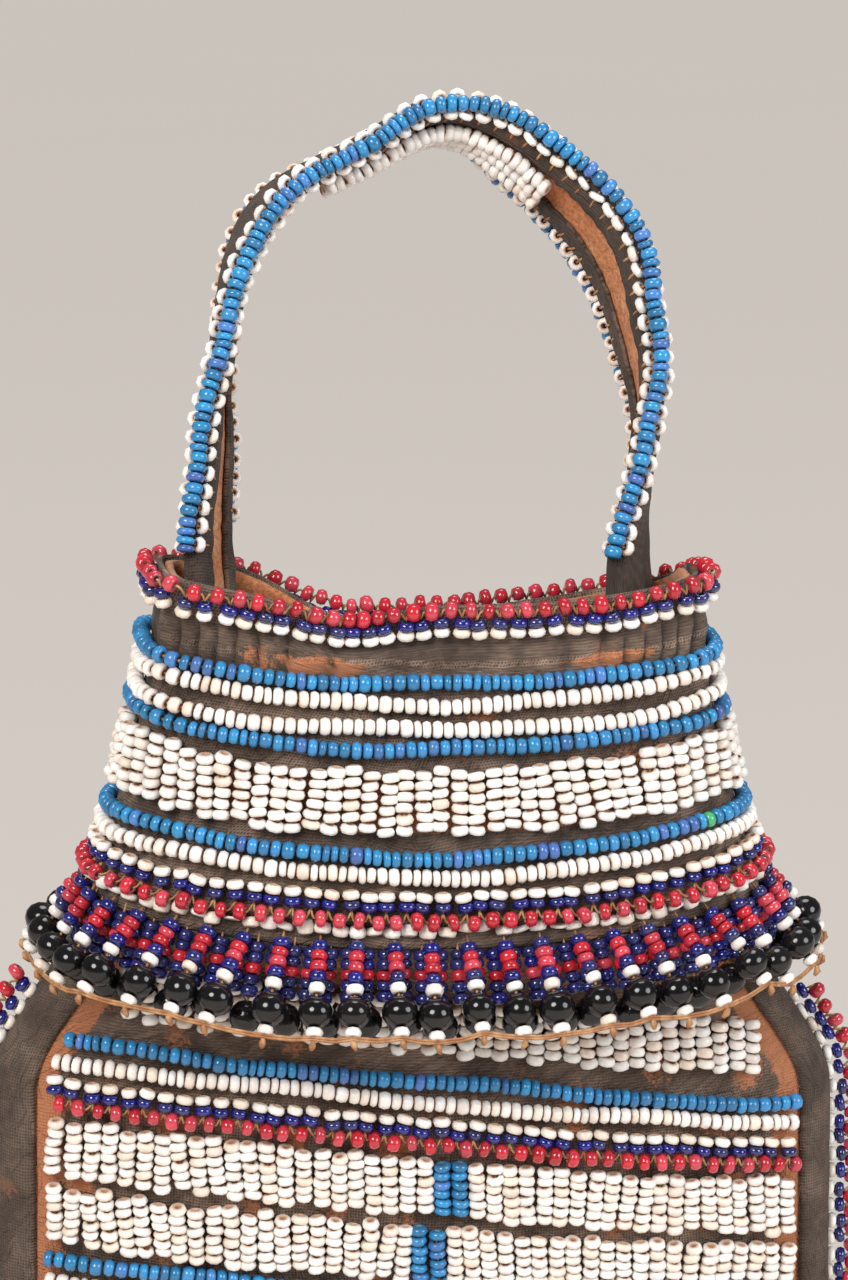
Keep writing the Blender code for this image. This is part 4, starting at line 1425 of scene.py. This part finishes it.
@dataclass
class Fringe:
    """The fringe round the neck's hem: outer strands with large black beads, and duller ones behind."""

    form: NeckForm = field(default_factory=NeckForm)
    strands: int = 46
    depth: float = 51.6 * MM
    drop: float = 11.6 * MM
    flare: float = 9.4 * MM
    start_offset: float = 1.2 * MM
    sag: float = 0.5 * MM
    sag_reach: float = 14 * MM
    inner_flare: float = 0.42
    inner_lower: float = 1.4 * MM
    inner_offset: float = -0.2 * MM
    colours: tuple[BeadColour, ...] = (
        BeadColour.COBALT,
        BeadColour.RED,
        BeadColour.RED,
        BeadColour.COBALT,
        BeadColour.WHITE,
    )
    dull_colours: tuple[BeadColour, ...] = (
        BeadColour.COBALT,
        BeadColour.COBALT,
        BeadColour.RED,
        BeadColour.COBALT,
        BeadColour.COBALT,
    )

    def build(self, shop: Workshop) -> None:
        """Makes every piece of the fringe.

        Args:
            shop: The workshop that finishes them.
        """
        threads = ThreadWork("fringe_threads")
        lots = {
            BeadColour.COBALT: BeadLot("fringe_blue_beads", BeadColour.COBALT, second_share=0.4),
            BeadColour.RED: BeadLot("fringe_red_beads", BeadColour.RED, second_share=0.35),
            BeadColour.WHITE: BeadLot("fringe_white_beads", BeadColour.WHITE),
            BeadColour.BLACK: BeadLot("fringe_black_beads", BeadColour.BLACK, ("fringe",), LARGE_SHAPE),
        }
        dice = random.Random("fringe")
        ends = self.hang(lots, threads, dice, self.strands, 0.0, 1.0)
        inner = BeadLot("fringe_inner_beads", BeadColour.BLACK, ("fringe_inner",), LARGE_SHAPE)
        dusty = BeadLot("fringe_dusty_beads", BeadColour.COBALT, second_share=0.9)
        dull = {
            BeadColour.COBALT: dusty,
            BeadColour.RED: lots[BeadColour.RED],
            BeadColour.WHITE: lots[BeadColour.WHITE],
            BeadColour.BLACK: inner,
        }
        self.hang(dull, threads, dice, 2 * self.strands, 0.5, self.inner_flare)
        for lot in (*lots.values(), dusty, inner):
            lot.deliver(shop)
        self.tie_ends(threads, ends, dice)
        threads.deliver(shop)

    def hang(
        self,
        lots: dict[BeadColour, BeadLot],
        threads: ThreadWork,
        dice: random.Random,
        count: int,
        shift: float,
        flare: float,
    ) -> list[Vector]:
        """Hangs one layer of strands.

        Args:
            lots: The lots by colour.
            threads: The piece that takes the threads.
            dice: The random draws.
            count: The number of strands.
            shift: Where the first stands, in strands.
            flare: The share of the full flare.

        Returns:
            The ends of the strands.
        """
        rim = Neck().ring(self.depth)
        outer = flare > 0.9
        ends = []
        for i in range(count):
            distance = rim.length * (i + shift) / count
            spot = float(np.interp(distance % rim.length, rim.lengths, range(len(rim.lengths))))
            turn = 2 * math.pi * spot / RING_STEPS
            offset = self.start_offset if outer else self.inner_offset
            start = self.form.point(turn, self.depth + (0.0 if outer else self.inner_lower), offset)
            reach = flare * dice.uniform(0.82, 1.12)
            low = self.depth + self.drop * dice.uniform(0.92, 1.08)
            end = self.form.point(turn, low, offset + self.flare * reach)
            side = Vector((-math.sin(turn), math.cos(turn), 0.0))
            end += side * dice.uniform(-1.6, 1.6) * MM * (1.0 if outer else 0.3)
            axis = (end - start).normalized()
            sag = Vector((0.0, 0.0, self.sag))
            along = 0.2 * MM
            line = [start - axis * 1.2 * MM]
            for colour in self.colours if outer else self.dull_colours:
                length = SIZES.flat_length * dice.uniform(0.98, 1.25)
                radius = SIZES.radius * dice.uniform(0.92, 1.06)
                share = along / self.sag_reach
                centre = start + axis * (along + length / 2) + sag * math.sin(math.pi * min(share, 1.0))
                wobble = Vector((dice.uniform(-1, 1), dice.uniform(-1, 1), dice.uniform(-1, 1))) * 0.12
                lots[colour].add(centre, (axis + wobble).normalized(), radius, length, dice.uniform(0, 6))
                line.append(centre)
                along += length
            if outer or i % 2 == 0:
                big = SIZES.large_length * dice.uniform(0.94, 1.06)
                centre = start + axis * (along + big / 2)
                lots[BeadColour.BLACK].add(centre, axis, SIZES.large_radius * dice.uniform(0.93, 1.05), big)
                line.append(centre)
                along += big
            if outer:
                length = SIZES.flat_length
                centre = start + axis * (along + length / 2)
                lots[BeadColour.WHITE].add(centre, axis, SIZES.radius * dice.uniform(0.92, 1.05), length)
                line.append(centre + axis * length * 0.7)
            threads.add(line, SIZES.thread)
            ends.append(line[-1])
        return ends

    def tie_ends(self, threads: ThreadWork, ends: list[Vector], dice: random.Random) -> None:
        """The thread through the strands' ends, with a knot at each."""
        line = []
        for i, end in enumerate(ends):
            after = ends[(i + 1) % len(ends)]
            line.append(end)
            line.append(end.lerp(after, 0.5) + Vector((0.0, 0.0, -dice.uniform(0.0, 0.5) * MM)))
        threads.add(line, 0.27 * MM, closed=True)
        threads.add([p + Vector((0.0, 0.0, 0.4 * MM)) for p in line], 0.22 * MM, closed=True)
        for end in ends:
            down = Vector((dice.uniform(-0.4, 0.4), 0.0, -1.0)).normalized()
            out = Vector((end.x * 0.3, end.y, 0.0)).normalized()
            knot = [end + out * 0.5 * MM, end + down * 0.8 * MM + out * 0.5 * MM, end + down * 1.7 * MM]
            threads.add(knot, 0.62 * MM)


@dataclass
class Pouch:
    """The flat pouch: leather sack, cloth cover, bindings and the beaded front."""

    form: PouchForm = field(default_factory=PouchForm)
    clearance: float = 0.3 * MM
    leather: float = 1.2 * MM
    binding: float = 0.8 * MM
    binding_width: float = 5.5 * MM
    margin: float = 1.4 * MM
    seam: float = 3.0 * MM
    edging_top: float = 67.0 * MM
    top_band: Pair = (64.4 * MM, 73.2 * MM)
    blocks: tuple[float, ...] = (78.2 * MM, 116.0 * MM)
    white_row: float = 3.5 * MM
    edging: float = 6.9 * MM
    edging_stand: float = 0.8 * MM
    bands: tuple[Pair, ...] = ((13.3 * MM, 22.9 * MM), (24.9 * MM, 34.7 * MM))
    band_beads: int = 6
    top_band_beads: int = 5
    check_place: float = 3.4 * MM
    binding_darkness: float = 0.6
    check_step: float = 3.6 * MM
    check_half_width: float = 2.9 * MM
    mouth: float = 53.3 * MM

    def floor(self) -> float:
        """The depth of the cloth's bottom."""
        return self.form.neck.drop + self.form.drop - self.binding - self.clearance

    def field_ends(self, depth: float) -> Pair:
        """The left and right ends of the beaded field on a sloping row."""
        slant = self.form.slope_at(depth) * self.form.neck.hem_half_width
        margin = self.binding_width + self.margin
        return margin - self.form.size(depth - slant)[0], self.form.size(depth + slant)[0] - margin

    def wear(self, point: Vector, low: float, high: float) -> float:
        """How worn through the cloth is beside the bindings and elsewhere."""
        worn = clamp(0.3 + 0.5 * noise.noise(point * 150.0))
        if point.y < 0:
            edge = min(abs(point.x - low), abs(point.x - high))
            worn = max(worn, 1.35 - edge / (4.6 * MM) + 0.4 * noise.noise(point * 300.0))
        return clamp(worn)

    def build(self, shop: Workshop) -> None:
        """Makes every piece of the pouch.

        Args:
            shop: The workshop that finishes them.
        """
        wide, high = 300, 90
        turns = circle(wide)
        depths = steps(self.mouth, self.floor(), high)

        def edges(depth: float) -> Pair:
            """Where the leather shows beside the bindings."""
            half_width = self.form.size(depth)[0] - self.binding_width
            return self.form.shift - half_width, self.form.shift + half_width

        def outer(i: int, j: int) -> Vector:
            """The cloth's face, softly rumpled."""
            flat = self.form.point(turns[i], depths[j])
            return self.form.point(turns[i], depths[j], crumple(flat, 0.3 * MM, 130.0))

        def worn(i: int, j: int) -> float:
            """The wear at a grid point."""
            return self.wear(self.form.point(turns[i], depths[j]), *edges(depths[j]))

        Sheet("pouch_cloth_cover", "cloth", ("pouch_cloth",), wide, high).deliver(
            shop,
            outer,
            lambda i, j: self.form.point(turns[i], depths[j], -self.form.cloth * 0.8),
            worn,
            caps=True,
        )
        face = -self.clearance - self.form.cloth
        floor = self.floor() - self.form.cloth - self.clearance
        rows = 30
        levels = steps(self.mouth, floor, rows)
        inside = steps(self.mouth, floor - self.seam, rows)
        Sheet("pouch_leather_sack", "leather", ("pouch_leather",), wide // 2, rows).deliver(
            shop,
            lambda i, j: self.form.point(turns[2 * i], levels[j], face),
            lambda i, j: self.form.point(turns[2 * i], inside[j], face - self.leather),
            caps=True,
        )
        self.build_bindings(shop)
        self.build_field(shop)

    def build_bindings(self, shop: Workshop) -> None:
        """Makes the folded cloth over the side and bottom seams, and the side edgings."""
        threads = ThreadWork("side_threads")
        floor = self.floor()
        low_end = floor - self.binding_width - self.clearance
        seat = 0.5 * MM
        for side, word in ((-1, "left"), (1, "right")):
            wide, high = 25, 120
            top = self.form.neck.drop + self.form.settle
            depths = steps(top, low_end, high)

            def turn_at(i: int, depth: float, side: int = side) -> float:
                """The turn of a point across the binding, from front to back."""
                width = self.form.size(depth)[0]
                reach = math.acos(clamp(1 - self.binding_width / width) ** (self.form.squareness / 2))
                turn = mix(-reach, reach, i / (wide - 1))
                return turn if side > 0 else math.pi - turn

            def face_point(i: int, j: int, offset: float) -> Vector:
                """A point of the binding, with its folds."""
                flat = self.form.point(turn_at(i, depths[j]), depths[j])
                fold = crumple(flat, 0.28 * MM, 220.0)
                swell = 0.35 * MM * math.sin(math.pi * i / (wide - 1))
                rise = fold + swell if offset > seat else 0
                return self.form.point(turn_at(i, depths[j]), depths[j], offset + rise)

            Sheet(f"binding_{word}", "cloth", (f"side_binding_{word}",), wide, high, wraps=False).deliver(
                shop,
                lambda i, j: face_point(i, j, seat + self.binding),
                lambda i, j: face_point(i, j, seat),
                lambda i, j: clamp(0.2 + 0.4 * noise.noise(face_point(i, j, seat) * 150.0)),
                folds=lambda i, j: self.binding_darkness,
            )
            self.build_side_edging(shop, threads, side, word, seat)
        self.build_bottom_binding(shop, floor)
        threads.deliver(shop)

    def build_bottom_binding(self, shop: Workshop, floor: float) -> None:
        """Makes the folded cloth over the bottom seam."""
        wide, high = 300, 14
        turns = circle(wide)
        top, base = floor - self.binding_width, floor + self.clearance
        outer_depths = steps(top, base + self.binding, high)
        inner_depths = steps(top, base, high)

        def outer(i: int, j: int) -> Vector:
            """The binding's outer face."""
            flat = self.form.point(turns[i], outer_depths[j])
            offset = self.clearance + self.binding + crumple(flat, 0.3 * MM, 240.0)
            return self.form.point(turns[i], outer_depths[j], offset)

        Sheet("binding_bottom", "cloth", ("bottom_binding",), wide, high).deliver(
            shop,
            outer,
            lambda i, j: self.form.point(turns[i], inner_depths[j], self.clearance),
            lambda i, j: clamp(0.2 + 0.4 * noise.noise(self.form.point(turns[i], outer_depths[j]) * 150.0)),
            caps=True,
        )

    def build_side_edging(
        self, shop: Workshop, threads: ThreadWork, side: int, word: str, seat: float
    ) -> None:
        """Makes the looped edging down one side seam."""
        points, outward = [], []
        bottom = self.floor() - self.binding_width
        for depth in steps(self.edging_top, bottom, 200):
            half_width = self.form.size(depth)[0] + seat + self.binding + 0.9 * MM
            points.append(self.form.hung(side * half_width, 0.0, depth))
            outward.append(Vector((0.0, -1.0, 0.0)))
        if side < 0:
            points.reverse()
        points = [point - Vector((0.0, -SIZES.radius - 0.3 * MM, 0.0)) for point in points]
        course = Course(points, outward)
        lots = {
            BeadColour.WHITE: BeadLot(f"side_{word}_white", BeadColour.WHITE, (f"side_edging_{word}",)),
            BeadColour.COBALT: BeadLot(f"side_{word}_blue", BeadColour.COBALT, second_share=0.4),
            BeadColour.RED: BeadLot(f"side_{word}_red", BeadColour.RED, second_share=0.4),
        }
        Stringer(f"side_{word}", threads).loops(lots, course, 0.2 * MM, flip=True)
        for lot in lots.values():
            lot.deliver(shop)

    def row(self, depth: float, offset: float = 0.0) -> Course:
        """The line of a sloping row across the front."""
        low, high = self.field_ends(depth)
        points, outward = [], []
        for x in steps(low, high, 161):
            point = self.form.front(x, depth, offset)
            beside = (self.form.front(x + MM, depth, offset) - point).normalized()
            points.append(point)
            outward.append(Vector((beside.y, -beside.x, 0.0)).normalized())
        return Course(points, outward)

    def build_field(self, shop: Workshop) -> None:
        """Makes the rows, bands and edgings of the front."""
        threads = ThreadWork("pouch_threads")
        low, high = self.field_ends(self.top_band[0])
        self.build_band(
            shop, threads, "pouch_band_1", BeadColour.WHITE, self.top_band, low, high, self.top_band_beads
        )
        number = 2
        for block, start in enumerate(self.blocks, 1):
            node = f"pouch_blue_row_{block}"
            sky = BeadLot(f"pouch_blue_beads_{block}", BeadColour.SKY, (node,), second_share=0.1)
            Stringer(sky.name, threads).string(sky, self.row(start))
            sky.deliver(shop)
            white = BeadLot(f"pouch_white_beads_{block}", BeadColour.WHITE, (f"pouch_white_row_{block}",))
            Stringer(white.name, threads).string(white, self.row(start + self.white_row))
            white.deliver(shop)
            lots = {}
            for colour, word in LOOP_WORDS.items():
                node = f"pouch_edging_{word}_{block}"
                lots[colour] = BeadLot(f"pouch_loop_{word}_{block}", colour, (node,), second_share=0.4)
            line = self.row(start + self.edging)
            Stringer(f"pouch_loops_{block}", threads).loops(lots, line, self.edging_stand)
            for lot in lots.values():
                lot.deliver(shop)
            for step, band in enumerate(self.bands):
                depths = (start + band[0], start + band[1])
                low, high = self.field_ends(depths[0])
                middle = self.check_place - step * self.check_step
                left, right = middle - self.check_half_width, middle + self.check_half_width
                name = f"pouch_band_{number}"
                self.build_band(shop, threads, f"{name}_left", BeadColour.WHITE, depths, low, left)
                self.build_band(shop, threads, f"{name}_check", BeadColour.SKY, depths, left, right)
                self.build_band(shop, threads, f"{name}_right", BeadColour.WHITE, depths, right, high)
                number += 1
        threads.deliver(shop)

    def build_band(
        self,
        shop: Workshop,
        threads: ThreadWork,
        node: str,
        colour: BeadColour,
        depths: Pair,
        low: float,
        high: float,
        beads: int = 0,
    ) -> None:
        """Makes one stretch of a band.

        Args:
            shop: The workshop that finishes it.
            threads: The piece that takes the threads.
            node: The CAD node that it stands for.
            colour: The colour of its beads.
            depths: Its top and bottom.
            low: Its left end.
            high: Its right end.
            beads: The beads in a column, or 0 for the usual number.
        """
        lot = BeadLot(f"{node}_beads", colour, (node,), second_share=0.2)
        count = max(1, round((high - low) / SIZES.column_pitch))
        places = [mix(low, high, (i + 0.5) / count) for i in range(count)]
        Stringer(lot.name, threads).columns(lot, self.form.front, places, depths, beads or self.band_beads)
        lot.deliver(shop)


@dataclass
class Handle:
    """The strap handle: leather folded in cloth, with beads on its edges and faces."""

    form: StrapForm = field(default_factory=StrapForm)
    cloth: float = 0.8 * MM
    clearance: float = 0.3 * MM
    darkness: float = 0.8
    hem_reach: float = 4.3 * MM
    front_span: Pair = (0.056, 0.957)
    back_span: Pair = (0.092, 0.905)
    patch_span: Pair = (0.39, 0.63)
    patch_edges: Pair = (-3.4 * MM, 4.2 * MM)
    on_edge_pitch: float = 2.9 * MM
    on_edge_inset: float = 0.1 * MM
    on_edge_rise: float = 0.55 * MM
    stitch_inset: float = 3.0 * MM
    stitch_rise: float = 0.2 * MM
    string_drift: float = 0.15 * MM
    string_size: float = 1.08

    def build(self, shop: Workshop) -> None:
        """Makes every piece of the handle.

        Args:
            shop: The workshop that finishes them.
        """
        self.build_cloth(shop)
        self.build_leather(shop)
        self.build_beads(shop)

    def section(self, inset: float) -> list[Pair]:
        """The folded cloth's section from one hem round the outer face to the other.

        Args:
            inset: How far in from the cloth's face.

        Returns:
            Points across the strap and out from its middle.
        """
        half = self.form.strap_half_width - inset
        top, bottom = self.form.face - inset, self.form.back + inset
        hem = self.form.strap_half_width - self.hem_reach
        middle, radius = (top + bottom) / 2, (top - bottom) / 2
        points = [(mix(-hem, -half + radius, i / 4), bottom) for i in range(4)]
        for i in range(9):
            turn = math.radians(270 - 22.5 * i)
            points.append((-half + radius + radius * math.cos(turn), middle + radius * math.sin(turn)))
        crown = 0.35 * MM
        for i in range(1, 8):
            across = mix(-half + radius, half - radius, i / 8)
            points.append((across, top + crown * math.sin(math.pi * i / 8)))
        for i in range(9):
            turn = math.radians(90 - 22.5 * i)
            points.append((half - radius + radius * math.cos(turn), middle + radius * math.sin(turn)))
        points += [(mix(half - radius, hem, i / 4), bottom) for i in range(1, 5)]
        return points

    def build_cloth(self, shop: Workshop) -> None:
        """Makes the cloth, folded round both edges."""
        outer, inner = self.section(0.0), self.section(self.cloth)
        wide, high = len(outer), 260
        shares = [j / (high - 1) for j in range(high)]

        def ragged(i: int, j: int, points: list[Pair], rumple: float) -> Vector:
            """A point of the cloth, with torn hems and soft folds."""
            across, out = points[i]
            if i < 3 or i > wide - 4:
                edge = min(i, wide - 1 - i)
                stray = 1.1 * MM * noise.noise(Vector((shares[j] * 60, 3.0 + (i > 9), 0.0)))
                across += math.copysign(stray * (3 - edge) / 3, across)
            point = self.form.point(shares[j], across, out)
            away = (self.form.point(shares[j], across * 1.1, out * 1.4) - point)
            if away.length:
                point = point + away.normalized() * crumple(point, rumple, 260.0)
            return point

        Sheet("handle_cloth_fold", "cloth", ("handle_cloth",), wide, high, wraps=False).deliver(
            shop,
            lambda i, j: ragged(i, j, outer, 0.25 * MM),
            lambda i, j: ragged(i, j, inner, 0.0),
            lambda i, j: clamp(0.25 + 0.45 * noise.noise(self.form.point(shares[j], *outer[i]) * 140.0)),
            folds=lambda i, j: self.darkness,
        )

    def build_leather(self, shop: Workshop) -> None:
        """Makes the leather strip that shows along the inner face."""
        core = self.form.strap_half_width - self.cloth - self.clearance
        top = self.form.face - self.cloth - self.clearance
        bottom = self.form.back + self.cloth + self.clearance
        wide, high = 13, 200

        def face_point(i: int, j: int, out: float) -> Vector:
            """A point of the strip's face."""
            point = self.form.point(j / (high - 1), mix(-core, core, i / (wide - 1)), out)
            return point + Vector((0, 0, 1)) * crumple(point, 0.15 * MM, 300.0)

        Sheet("handle_leather_strip", "leather", ("handle_leather",), wide, high, wraps=False).deliver(
            shop, lambda i, j: face_point(i, j, top), lambda i, j: face_point(i, j, bottom)
        )

    def course(
        self, span: Pair, across: float, out: float, outward: Pair
    ) -> Course:
        """A line along the strap.

        Args:
            span: Its start and end as shares of the strap.
            across: Its place across the strap.
            out: Its place out from the strap's middle.
            outward: The way that beads stand off, across and out.

        Returns:
            The line.
        """
        points, ways = [], []
        for share in steps(*span, 301):
            point = self.form.point(share, across, out)
            away = self.form.point(share, across + outward[0] * MM, out + outward[1] * MM) - point
            points.append(point)
            ways.append(away.normalized())
        return Course(points, ways)

    def build_beads(self, shop: Workshop) -> None:
        """Makes the blue strings on the edges, the white beads on end and the white patch."""
        threads = ThreadWork("handle_threads")
        middle = (self.form.face + self.form.back) / 2
        half = self.form.strap_half_width
        for side, word, span in ((-1, "front", self.front_span), (1, "back", self.back_span)):
            blue = BeadLot(f"handle_blue_beads_{word}", BeadColour.SKY, (f"handle_blue_{word}",))
            course = self.course(span, side * half, middle, (side, 0.0))
            Stringer(blue.name, threads).string(blue, course, self.string_drift, self.string_size)
            blue.deliver(shop)
            for face, out, way in (("outside", self.form.face, 1.0), ("inside", self.form.back, -1.0)):
                node = f"handle_white_{word}_{face}"
                white = BeadLot(f"{node}_beads", BeadColour.WHITE, (node,))
                near, far = side * (half - self.on_edge_inset), side * (half - self.stitch_inset)
                line = self.course(span, near, middle + way * self.on_edge_rise, (side * 0.1, way))
                foot = self.course(span, far, out + way * self.stitch_rise, (0.0, way))
                self.stand_on_edge(white, line, foot, threads)
                white.deliver(shop)
        self.build_patch(shop, threads)
        threads.deliver(shop)

    def stand_on_edge(self, lot: BeadLot, course: Course, foot: Course, threads: ThreadWork) -> None:
        """White beads sewn on their edges, with their holes across the strap.

        Args:
            lot: The lot that gets them.
            course: Their line.
            foot: The line where their stitches enter the cloth.
            threads: The piece that takes the stitches.
        """
        dice = random.Random(lot.name)
        count = int(course.length / self.on_edge_pitch)
        for i in range(count):
            share = (i + 0.5 + dice.uniform(-0.08, 0.08)) / count
            point, along, out = course.at(share * course.length)
            landing = foot.at(share * foot.length)[0] + along * dice.uniform(-0.5, 0.5) * MM
            beside = (landing - point).normalized()
            axis = beside + out * dice.uniform(-0.1, 0.35)
            axis = (axis + along * dice.uniform(-0.25, 0.25)).normalized()
            centre = point + out * SIZES.radius * dice.uniform(0.55, 0.75)
            radius = SIZES.radius * dice.uniform(0.92, 1.04)
            lot.add(centre, axis, radius, SIZES.flat_length * dice.uniform(0.75, 0.95))
            threads.arc(centre - axis * 1.0 * MM, centre.lerp(landing, 0.8), out * 0.1 * MM, SIZES.thread)

    def build_patch(self, shop: Workshop, threads: ThreadWork) -> None:
        """Makes the patch of white beads under the crown."""
        lot = BeadLot("handle_patch_beads", BeadColour.WHITE, ("handle_white_patch",))
        dice = random.Random(lot.name)
        length = self.form.length() * (self.patch_span[1] - self.patch_span[0])
        count = int(length / SIZES.pitch / 1.1)
        low, high = self.patch_edges
        rows = 3
        for j in range(rows):
            across = mix(low, high, (j + 0.5) / rows)
            line = self.course(self.patch_span, across, self.form.back, (0.0, -1.0))
            for i in range(count):
                point, along, out = line.at(line.length * (i + 0.5) / count)
                beside = along.cross(out)
                axis = along + beside * dice.uniform(-0.35, 0.35)
                axis = (axis + out * dice.uniform(-0.25, 0.25)).normalized()
                centre = point + out * (SIZES.radius * 0.9) + beside * dice.uniform(-0.4, 0.4) * MM
                radius = SIZES.radius * dice.uniform(0.92, 1.12)
                lot.add(centre, axis, radius, SIZES.flat_length * dice.uniform(0.95, 1.15))
        lot.deliver(shop)


@dataclass
class Studio:
    """The camera, the pale floor and the soft light."""

    azimuth: float = math.radians(-8.0)
    elevation: float = math.radians(13.0)
    distance: float = 0.6
    aim: Triple = (-1.3 * MM, -8.0 * MM, -6.3 * MM)
    lens: float = 105.5
    floor_radius: float = 14.0
    background: Triple = (0.64, 0.59, 0.545)

    def build(self) -> None:
        """Sets up the view, the floor, the lamps and the world."""
        scene = bpy.context.scene
        scene.view_settings.view_transform = "Standard"
        self.build_camera(scene)
        self.build_floor()
        self.build_lamp("key", Vector((-0.55, -0.75, 0.55)), 0.55, 11.0, (1.0, 0.97, 0.93))
        self.build_lamp("fill", Vector((0.75, -0.65, 0.3)), 0.6, 6.5, (0.95, 0.98, 1.0))
        self.build_lamp("top", Vector((0.1, 0.25, 0.8)), 0.5, 4.0, (1.0, 1.0, 1.0))
        self.build_world(scene)

    def build_camera(self, scene: bpy.types.Scene) -> None:
        """Places the camera where the photograph was taken from."""
        flat, rise = math.cos(self.elevation), math.sin(self.elevation)
        back = Vector((math.sin(self.azimuth) * flat, -math.cos(self.azimuth) * flat, rise))
        data = bpy.data.cameras.new("camera")
        data.sensor_width = 36.0
        data.lens = self.lens
        data.clip_end = 50.0
        camera = bpy.data.objects.new("camera", data)
        camera.location = RIM_CENTRE + Vector(self.aim) + back * self.distance
        camera.rotation_euler = back.to_track_quat("Z", "Y").to_euler()
        scene.collection.objects.link(camera)
        scene.camera = camera

    def build_floor(self) -> None:
        """Makes the pale floor under the hanging bag."""
        work = bmesh.new()
        bmesh.ops.create_circle(work, cap_ends=True, segments=64, radius=self.floor_radius)
        mesh = bpy.data.meshes.new("floor")
        work.to_mesh(mesh)
        work.free()
        floor = bpy.data.objects.new("floor", mesh)
        floor.location = (0.0, 0.0, CAD_BOX[0][2] - 0.02)
        bpy.context.scene.collection.objects.link(floor)
        material, tree, shader = start_material("pale_floor")
        glow = place(tree, "Emission", Strength=1.0, Color=(*self.background, 1.0))
        rays = place(tree, "LightPath")
        seen = math_node(tree, "MULTIPLY", rays.outputs["Is Camera Ray"], 0.85)
        both = mix_shaders(tree, seen, shader.outputs[0], glow.outputs[0])
        fill(tree.nodes["Material Output"], Surface=both)
        where = place(tree, "TexCoord").outputs["Object"]
        cloud = place(tree, "TexNoise", Vector=where, Scale=1.6, Detail=3.0)
        shade = spread(tree, cloud.outputs["Fac"], 0.3, 0.7)
        darker = tuple(value * 0.93 for value in self.background)
        colour = blend_colours(tree, shade, (*darker, 1.0), (*self.background, 1.0))
        fill(shader, Base_Color=colour, Roughness=0.95)
        mesh.materials.append(material)
        floor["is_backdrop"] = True

    def build_lamp(
        self, name: str, where: Vector, size: float, power: float, colour: Triple
    ) -> None:
        """Adds one soft lamp that faces the bag."""
        data = bpy.data.lights.new(name, "AREA")
        data.shape = "DISK"
        data.size = size
        data.energy = power
        data.color = colour
        lamp = bpy.data.objects.new(name, data)
        lamp.location = where
        lamp.rotation_euler = (where - Vector((0.0, 0.0, -0.08))).to_track_quat("Z", "Y").to_euler()
        bpy.context.scene.collection.objects.link(lamp)

    def build_world(self, scene: bpy.types.Scene) -> None:
        """A pale world that shows the background's colour to the camera and a dim world to gloss."""
        world = bpy.data.worlds.new("studio")
        scene.world = world
        world.use_nodes = True
        tree = world.node_tree
        light = tree.nodes["Background"]
        fill(light, Color=(1.0, 0.985, 0.96, 1.0), Strength=0.55)
        shown = place(tree, "Background", Color=(*self.background, 1.0))
        dim = place(tree, "Background", Strength=0.16)
        rays = place(tree, "LightPath").outputs
        seen = mix_shaders(tree, rays["Is Camera Ray"], light.outputs[0], shown.outputs[0])
        whole = mix_shaders(tree, rays["Is Glossy Ray"], seen, dim.outputs[0])
        fill(tree.nodes["World Output"], Surface=whole)


def write_sizes() -> None:
    boxes = {"cad": CAD_BOX, "visual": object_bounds()}
    plain = {name: [[float(value) for value in corner] for corner in box] for name, box in boxes.items()}


def main() -> None:
    """Builds the bag and the studio."""
    logging.basicConfig(level=logging.INFO, format="%(name)s %(message)s")
    shop = Workshop()
    Handle().build(shop)
    Neck().build(shop)
    Fringe().build(shop)
    Pouch().build(shop)
    Studio().build()
    write_sizes()


if __name__ == "__main__":
    main()
